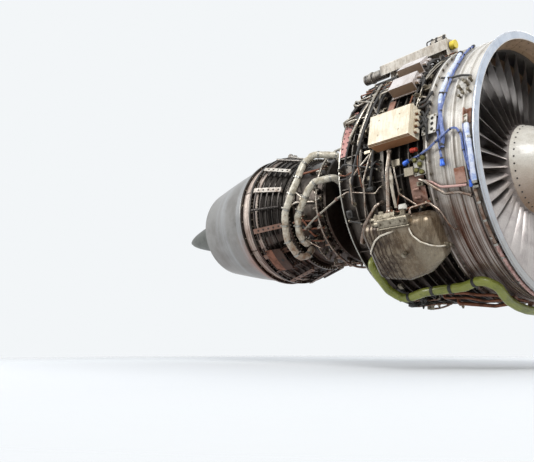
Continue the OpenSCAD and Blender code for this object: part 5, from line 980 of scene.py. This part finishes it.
# Oil tank: a deep-drawn pillow between the CAD's corner rounds, with ring welds, a valve block and thin tubes
tank = {"clock": 124.5, "front": -320, "round": 60,
        "corners": ((0, -8), (370, -8), (0, 2.5), (90, 6), (220, 8), (370, 6.5)), "crown": (30, 330),
        "rings": ((-552, 2), (-588, 2), (-616, 3), (-640, 3), (-664, 3), (-700, 4)),
        "block": 113.6, "blockPipe": (-586, -622, -628, -640), "blockBolts": (-570, -500, -430, -398),
        "knob": (-462, 124, 1032), "outlet": (-264, -260, -244, -238), "feet": (118.5, 125.5),
        "footStations": (-380, -575),
        "lines": (([(-704, 122.6, 1037), (-690, 121.6, 1044), (-664, 120.0, 1045), (-636, 118.4, 1043),
                    (-592, 117.1, 1039), (-539, 116.6, 1037), (-500, 116.3, 1034), (-482, 115.9, 1006)], 5.5),
                  ([(-392, 115.6, 1020), (-386, 116.4, 1037), (-374, 118.5, 1043), (-335, 120.8, 1047),
                    (-290, 122.4, 1041), (-264, 124.0, 1006), (-255, 125.3, 957)], 4.5))}
skin, rings, fitting, tankLines = (newMesh() for i in range(4))
ball = []
for a in range(0, 181, 10):
    around = [math.radians(b) for b in range(0, 360, 10 if 0 < a < 180 else 360)]
    high, wide = math.cos(math.radians(a)), math.sin(math.radians(a))
    ball += [Vector((wide * math.cos(b), wide * math.sin(b), high)) for b in around]
middles = [at(tank["front"] - behind, tank["clock"] + c, r) for behind, c in tank["corners"]
           for r in (tankIn, tankOut)]
middles += [at(tank["front"] - behind, tank["clock"] - 1, tankOut + 14) for behind in tank["crown"]]
addHull(skin, [middle + v * tank["round"] for middle in middles for v in ball])


def sliceHull(mesh, station):
    # the outline of a convex mesh at a station, in order
    points = []
    edges = {tuple(sorted(pair)) for face in mesh["faces"] for pair in zip(face, face[1:] + face[:1])}
    for a, b in sorted(edges):
        a, b = Vector(mesh["verts"][a]), Vector(mesh["verts"][b])
        if (a.x - station) * (b.x - station) < 0:
            points.append(a.lerp(b, (a.x - station) / (a.x - b.x)))
    centre = sum(points, Vector()) / len(points)
    side, other = Vector((0, 1, 1)), Vector((0, -1, 1))
    points.sort(key=lambda p: math.atan2((p - centre).dot(other), (p - centre).dot(side)))
    kept = [points[0]]
    for p in points[1:]:
        if (p - kept[-1]).length > 3:
            kept.append(p)
    return kept


for station, thick in tank["rings"]:
    addTube(rings, sliceHull(skin, station), thick, 8, closed=True)
neck, up, rear = Vector((neckX, neckY, neckZ)), Vector((0, 0, 1)), Vector((-1, 0, 0))
addPeg(fitting, neck, up, (0, 106), 18, 32)
addPeg(fitting, neck, up, (66, 74), 27, 32)
block = [(x, y, z) for x in (-190, -40) for y in (-30, 34) for z in (42, 94)]
block += [(x, y, 98) for x in (-186, -44) for y in (-26, 30)]
addHull(fitting, [neck + Vector(p) for p in block])
addPeg(fitting, neck + Vector((-155, 0, 0)), up, (90, 116), 17, 6)
addPeg(fitting, neck + Vector((0, -6, 72)), rear, (190, 222), 15, 20)
addPeg(fitting, neck + Vector((0, -6, 72)), rear, (222, 228), 18, 6)
for x in (-182, -48):
    for y in (-22, 26):
        addBolt(fitting, neck + Vector((x, y, 97)), up, 5, 6)
c = tank["block"]
addBox(fitting, c, (-588, -24, 985), (-382, 30, 1040), 6)
addBox(fitting, c, (-596, -30, 990), (-374, -22, 1044), 2)
addTube(fitting, [turned(c, x, 2, 1012) for x in tank["blockPipe"]], [17, 17, 12, 12], 24)
for x in tank["blockBolts"]:
    addBolt(fitting, turned(c, x, 4, 1040), outward(c), 7, 7)
for lengths, size, sides in (((-4, 8), 24, 32), ((0, 34), 16, 32), ((34, 42), 11, 6)):
    addPeg(fitting, at(*tank["knob"]), outward(tank["knob"][1]), lengths, size, sides)
outlet = [at(x, 125.5, 939.95) for x in tank["outlet"]]
addTube(fitting, outlet, [21, 21, 15, 15], 24)
addPeg(fitting, outlet[-1], rear, (0, -12), 10, 6)
for c in tank["feet"]:  # on the case's ribs
    for station in tank["footStations"]:
        for s in (-5, 5):
            addBox(fitting, c, (station - 9, s - 9, midRibR + 0.3), (station + 9, s + 9, 876))
for stations, radius in tank["lines"]:
    addTube(tankLines, roundedPath([at(*q) for q in stations], 30), radius)
makePiece("oilTank", skin, "tankSkinDrawn", "oil_tank", replaces=True, sharp=50)
makePiece("tankRings", rings, "tankSeamWelded", "oil_tank", sharp=60)
makePiece("tankFittings", fitting, "fittingAlloyCast", "oil_tank")
makePiece("tankBreather", tankLines, "tubeSiliconeMoulded", "case_pipes")
print("tank made")

# Brown pipes under the tank, dark hoses over the frame, and the frame's rear rim with its pink sheet
lowLook = {"pipes": (([(-640, 155, 826), (-640, 155, 850), (-420, 156, 854), (-330, 157, 866),
                       (-250, 159, 858), (-175, 164, 846), (-150, 172, 842), (-150, 176, 828)], 9),
                     ([(-600, 160, 824), (-600, 160, 848), (-440, 161, 852), (-330, 163, 868),
                       (-240, 165, 856), (-170, 170, 844), (-170, 176, 828)], 8),
                     ([(-560, 167, 824), (-560, 167, 850), (-330, 170, 868), (-240, 172, 850),
                       (-240, 178, 828)], 12)),
           "hoses": (([(-712, 46, 817), (-712, 48, 842), (-700, 58, 854), (-690, 66, 856), (-679, 76, 850),
                       (-690, 90, 846), (-740, 100, 836), (-745, 101, 817)], 9),
                     ([(-750, 43, 817), (-745, 46, 846), (-735, 56, 858), (-752, 68, 862), (-790, 80, 856),
                       (-850, 92, 846), (-905, 101, 834), (-910, 102, 817)], 10),
                     ([(-820, 50, 817), (-820, 51, 840), (-850, 60, 850), (-880, 72, 848), (-925, 86, 838),
                       (-930, 88, 817)], 7)),
           "sheet": (-986, -926, 57, 82), "sheetR": 818.5, "holePairs": 9, "rim": (-999.5, -991), "rimR": 815}
lowPipes, frameHoses, pinkSheet, rearRim, sheetHoles = (newMesh() for i in range(5))
for mesh, rows, step, bend in ((lowPipes, lowLook["pipes"], 5, 30), (frameHoses, lowLook["hoses"], 4, 40)):
    for stations, radius in rows:
        addTube(mesh, roundedPath(route(stations, step), bend), radius, 14)
x0, x1, c0, c1 = lowLook["sheet"]
rimR, sheetR = lowLook["rimR"], lowLook["sheetR"]
addSheet(pinkSheet, (x0, x1), (c0, c1), sheetR - 4, 4)
for k in range(lowLook["holePairs"]):
    c = mix(c0, c1, (k + 0.5) / lowLook["holePairs"])
    for x in (x0 + 12, x1 - 12):
        addPeg(sheetHoles, at(x, c, sheetR), outward(c), (-1, 0.8), 6, 14)
x0, x1 = lowLook["rim"]
addLathe(rearRim, [(rimR, x0), (rimR + 3.5, x0), (rimR + 3.5, x1), (rimR, x1)], 200)
makePieces(40, ("lowPipes", lowPipes, "tubeSteelRusted", "case_pipes"),
           ("frameHoses", frameHoses, "hoseRubberMoulded", "case_pipes"),
           ("pinkSheet", pinkSheet, "sheetPrimerRolled", "fan_frame"),
           ("rearRim", rearRim, "linkSteelMachined", "fan_frame"),
           ("sheetHoles", sheetHoles, "holeShadowedOxide", "fan_frame"))

# What the accessories on the port side carry: pad bolts, ribs, covers, lines and a cable
portLook = {
    "front": -370, "rear": -520, "outer": 956, "padR": 934, "split": -445, "pitch": 3,
    # clock, bolt circle and station of each pad
    "pads": {"starter": (242, 61, -350), "pump": (265, 52, -352), "generator": (288, 64, -352)},
    "ribs": (248.5, 252, 255.5, 272.5, 276, 279.5), "covers": ((258.2, 22), (294.2, 20)),
    "coverStation": -478, "transfer": (240, -850, 968),
    "lines": (([(-796, 261.8, 914), (-850, 261.8, 914), (-884, 258, 870), (-900, 256, 817)], 11),
              ([(-796, 268.2, 914), (-846, 268.2, 914), (-872, 272, 866), (-880, 274, 817)], 11),
              ([(-678, 285.2, 934), (-724, 285.2, 930), (-760, 292, 866), (-764, 296, 817)], 12),
              ([(-678, 290.8, 934), (-716, 290.8, 930), (-730, 299, 866), (-734, 303, 817)], 12),
              ([(-258, 263.9, 1006), (-258, 263.9, 1026), (-300, 258, 1012), (-420, 256.5, 990),
                (-560, 256, 962), (-640, 255, 880), (-652, 254.8, 817)], 9),
              ([(-258, 266.1, 1006), (-258, 266.1, 1034), (-310, 273, 1010), (-420, 274.5, 992),
                (-560, 275.5, 962), (-650, 276, 880), (-662, 276, 817)], 9)),
    "cable": [(-330, 288, 1016), (-336, 288, 1030), (-380, 288, 1030), (-470, 292, 1010), (-566, 297, 930),
              (-620, 298, 862), (-640, 298, 824)]}
portSteel, portRibs, portCable = (newMesh() for i in range(3))
outer, rear, pads = portLook["outer"], portLook["rear"], portLook["pads"]
for name, (clock, ring, station) in pads.items():
    for a in (2 * math.pi * (k + 0.5) / 10 for k in range(10)):
        middle, s, c = outward(clock) * portLook["padR"], math.sin(a), math.cos(a)
        addBolt(portSteel, middle + turned(clock, station, ring * s, ring * c), (1, 0, 0), 4.5, 7)
        if name == "starter":  # its pad is bolted from behind too
            addBolt(portSteel, middle + turned(clock, rear, 65 * s, 65 * c), (-1, 0, 0), 5, 7)
for c in portLook["ribs"]:
    addBox(portRibs, c, (rear + 10, -3.5, outer - 3), (portLook["front"] - 10, 3.5, outer + 8))
for c, size in portLook["covers"]:
    p, out = at(portLook["coverStation"], c, outer - 2), outward(c)
    addPeg(portRibs, p, out, (0, 9, 11), [size, size, size - 2], 28)
    for a in (math.pi * k / 3 for k in range(6)):
        around = turned(c, (size - 5) * math.cos(a), (size - 5) * math.sin(a), 0)
        addBolt(portSteel, p + out * 10 + around, out, 3, 4)
for c in (235 + portLook["pitch"] * k for k in range(21)):
    if all(abs(c - clock) > 5 for clock, ring, station in pads.values()):
        for s in (-1, 1):
            addBolt(portSteel, at(portLook["split"] + s * 5, c, outer + 4.5), (s, 0, 0), 3.2, 5)
clock, station, r = portLook["transfer"]
for x in (-52, 0, 52):
    for y in (-46, 46):
        addBolt(portSteel, turned(clock, station + x, y, r), outward(clock), 5, 6)
for stations, radius in portLook["lines"]:
    path = roundedPath(route(stations, 4), 26)
    addTube(portSteel, path, radius, 14)
    for end, d in pathEnds(path):
        addPeg(portSteel, end, d, (0, 14), radius * 1.5, 6)
addTube(portCable, roundedPath(route(portLook["cable"], 4), 40), 10, 14)
makePieces(40, ("portLines", portSteel, "tubeSteelDrawn", "case_pipes"),
           ("gearboxRibs", portRibs, "gearboxMagnesiumCast", "accessory_gearbox"),
           ("generatorCable", portCable, "hoseRubberMoulded", "case_pipes"))
print("port side made")

# Rows of small bolts on the core's flanges and on the middle case's ribs: station, radius, count, facing
coreRows = ((-1012, 362, 72, -1), (-1478, 444, 84, 1), (-1493, 444, 84, -1), (-1867, 462, 96, 1),
            (-1893, 462, 96, -1), (-2217, 549, 60, 1), (-652, 814, 72, 1))
ribRows = ((-322, 837, 36, -1), (-298, 837, 36, 1))
coreBolts = newMesh()
for rows, shift, size, length in ((coreRows, 0.25, 5, 8), (ribRows, 0, 6, 9)):
    for station, r, count, facing in rows:
        for k in range(count):
            addBolt(coreBolts, at(station, 360 * (k + shift) / count, r), (facing, 0, 0), size, length)
makePiece("coreBolts", coreBolts, "boltSteelPlated", "casing_bolts")

# A nest of small pipes, clamps, blocks and connectors over the middle case, the frame and the core
nest = {
    "seed": 23,
    "zones": (  # last and first station, surface radius, heights over it, clocks, pipes, blocks
        (-980, -650, 815, (8, 34), (28, 112), 26, 26), (-630, -330, 822, (8, 22), (92, 118), 9, 8),
        (-450, -330, 822, (8, 26), (28, 70), 9, 12), (-980, -650, 815, (8, 30), (150, 340), 24, 22),
        (-1850, -1540, 425, (10, 58), (0, 360), 40, 16), (-1440, -1270, 332, (14, 70), (0, 360), 18, 10)),
    "bundles": ((-440, 56, 4, 4), (-478, 41, 4, 4), (-352, 76, 9, 6)),  # station, clock, spread, count
    "valves": 14, "beamClock": 12, "beamTop": 986}
chance = random.Random(nest["seed"])
nestSteel, nestDark, nestRust, nestBlocks, nestBlack = (newMesh() for i in range(5))
for low, high, surface, lifts, clocks, pipeCount, blockCount in nest["zones"]:
    for k in range(pipeCount):
        radius = chance.choice((4, 4, 5, 6, 7, 9))
        top = surface + radius + chance.uniform(*lifts)
        c0 = chance.uniform(*clocks)
        c1 = min(c0 + chance.uniform(10, 34), clocks[1] + 4)
        x0, x1 = chance.uniform(low, high), chance.uniform(low, high)
        xm = mix(x0, x1, chance.random())
        if chance.random() < 0.55:
            stations = [(x0, c0, surface), (x0, c0, top), (xm, mix(c0, c1, 0.45), top + 6),
                        (xm, mix(c0, c1, 0.6), top + 6), (x1, c1, top), (x1, c1, surface)]
        else:
            stations = [(low + 4, c0, surface), (low + 4, c0, top),
                        (low + 60, c0 + chance.uniform(-3, 3), top),
                        (high - 50, c0 + chance.uniform(-3, 3), top), (high - 6, c0, top),
                        (high - 6, c0, surface)]
        mesh = chance.choice((nestSteel, nestSteel, nestSteel, nestDark, nestRust))
        path = roundedPath(route(stations, 6), 22, 15)
        addTube(mesh, path, radius, 10)
        for end, d in pathEnds(path):
            addPeg(nestBlocks, end, d, (0, 6), radius * 2.2, 6)
            addPeg(nestBlocks, end, d, (6, 16), radius * 1.45, 6)
        for i in range(6, len(path) - 6, 9):  # clamps, each on its own stand-off
            p = path[i]
            addPeg(nestBlocks, p, heading(path, i), (-5, 5), radius + 1.8, 10)
            foot = Vector((p.x, 0, 0)) + Vector((0, p.y, p.z)).normalized() * (surface - 1)
            if (p - foot).length > radius + 3:
                addTube(nestBlocks, [foot, p], 3.4, 6)
    for k in range(blockCount):
        c, x = chance.uniform(*clocks), chance.uniform(low + 25, high - 25)
        w, d, h = chance.uniform(12, 34), chance.uniform(10, 26), chance.uniform(12, 40)
        block = chance.choice((nestBlocks, nestBlack))
        addBox(block, c, (x - w, -d, surface - 6), (x + w, d, surface + h), 2)
        if chance.random() < 0.6:
            addPeg(block, at(x, c, surface + h), outward(c), (0, 12), min(w, d) * 0.6, 18)
            addPeg(block, at(x, c, surface + h), outward(c), (12, 20), min(w, d) * 0.4, 6)
# black bundles that leave the exciters' and the control box's sockets and dive between the ribs
for x, c, spread, count in nest["bundles"]:
    for k in range(count):
        a = c + mix(-spread, spread, k / (count - 1)) * 0.6
        end = a + chance.uniform(-9, 9)
        bundle = [at(x + 4, a, 876), at(x + 34, a, 874), at(x + 62, mix(a, end, 0.5), 868),
                  at(x + 58, end, 848), at(x + 40, end + 2, 826)]
        addTube(nestBlack, roundedPath(bundle, 18, 15), chance.choice((7, 8, 9)))
c, foot = nest["beamClock"], nest["beamTop"]
for k in range(nest["valves"]):  # lines and valves on the front of the crown beam
    x, y = chance.uniform(-640, -512), chance.uniform(-52, 52)
    top = foot + 3 + chance.uniform(14, 44)
    addTube(nestBlack, [turned(c, x, y, foot), turned(c, x, y, top)], chance.uniform(5, 11))
    far = turned(c, x - chance.uniform(30, 80), y + chance.uniform(-25, 25), top - 6)
    line = [turned(c, x, y, top - 6), far, far - outward(c) * (top - foot - 7)]
    addTube(nestBlack, roundedPath(line, 12), 4.5, 8)
makePieces(50, ("nestPipes", nestSteel, "tubeSteelDrawn", "case_pipes"),
           ("nestHoses", nestDark, "hoseRubberMoulded", "case_pipes"),
           ("nestRusty", nestRust, "tubeSteelRusted", "case_pipes"),
           ("nestBlack", nestBlack, "hoseRubberMoulded", "case_brackets"))
makePiece("nestBlocks", nestBlocks, "fittingAlloyCast", "case_brackets")
print("nest made")

# Floor that keeps the shadow and fades out into the pale room
stageLook = {"floor": -1.24, "half": 30, "middle": -1.8, "shade": "#d3d5d6", "fade": (2.2, 5.5),
             "sky": "#eef3fb", "ground": "#7a7672", "room": 0.75, "backdrop": "#f3f6f8",
             # place, size in metres and watts of each lamp
             "lamps": {"keyLamp": ((3.4, -4.2, 4.6), 3.2, 395), "sideLamp": ((-5.0, -4.5, 2.6), 3.0, 205),
                       "backLamp": ((-1.5, 5.0, 3.2), 3.5, 160)}, "aim": (-1.2, 0, 0)}
half, level = stageLook["half"], stageLook["floor"]
floor = addObject("floor", bpy.data.meshes.new("floor"))
corners = [(-half, -half, level), (half, -half, level), (half, half, level), (-half, half, level)]
floor.data.from_pydata(corners, [], [(0, 1, 2, 3)])
floorPaint = bpy.data.materials.new("floorPaintRolled")
tree = emptyTree(floorPaint)
place = addNode(tree, "TexCoord", out="Object")
place = addNode(tree, "Mapping", {"Vector": place, "Location": (-stageLook["middle"], 0, -level)})
away = addNode(tree, "VectorMath", {0: place}, "Value", operation="LENGTH")
faded = addNode(tree, "MapRange", {0: away, 1: stageLook["fade"][0], 2: stageLook["fade"][1]},
                interpolation_type="SMOOTHSTEP")
rolled = addNode(tree, "TexNoise", {"Vector": place, "Scale": 14.0, "Detail": 6.0})
dull = addNode(tree, "MapRange", {0: rolled, 1: 0.3, 2: 0.7, 3: 0.74, 4: 0.86})
paint = addNode(tree, "BsdfPrincipled", {"Base Color": toLinear(stageLook["shade"]), "Roughness": dull})
clear = addNode(tree, "BsdfTransparent")
addNode(tree, "OutputMaterial", {0: addNode(tree, "MixShader", {0: faded, 1: paint, 2: clear})}, None)
floor.data.materials.append(floorPaint)

world = bpy.data.worlds.new("paleRoom")
bpy.context.scene.world = world
tree = emptyTree(world)
height = addNode(tree, "SeparateXYZ", {0: addNode(tree, "TexCoord", out="Generated")}, 2)
skyShare = addNode(tree, "MapRange", {0: height, 1: -0.15, 2: 0.55})
sky = addNode(tree, "Mix", {0: skyShare, 6: toLinear(stageLook["ground"]), 7: toLinear(stageLook["sky"])}, 2,
              data_type="RGBA")
roomLight = addNode(tree, "Background", {0: sky, 1: stageLook["room"]})
backdrop = addNode(tree, "Background", {0: toLinear(stageLook["backdrop"]), 1: 1.0})
rays = addNode(tree, "LightPath", out=None)
seen = addNode(tree, "Math", {0: rays["Is Camera Ray"], 1: rays["Is Glossy Ray"]}, operation="MAXIMUM")
seen = addNode(tree, "Math", {0: seen, 1: rays["Is Transmission Ray"]}, operation="MAXIMUM")
addNode(tree, "OutputWorld", {0: addNode(tree, "MixShader", {0: seen, 1: roomLight, 2: backdrop})}, None)

for name, (place, size, watts) in stageLook["lamps"].items():
    data = bpy.data.lights.new(name, "AREA")
    data.size, data.energy = size, watts
    lamp = addObject(name, data)
    lamp.location = place
    lamp.rotation_mode = "QUATERNION"
    lamp.rotation_quaternion = (Vector(stageLook["aim"]) - Vector(place)).to_track_quat("-Z", "Y")
bpy.context.scene.view_settings.view_transform = "Standard"
print("light made")
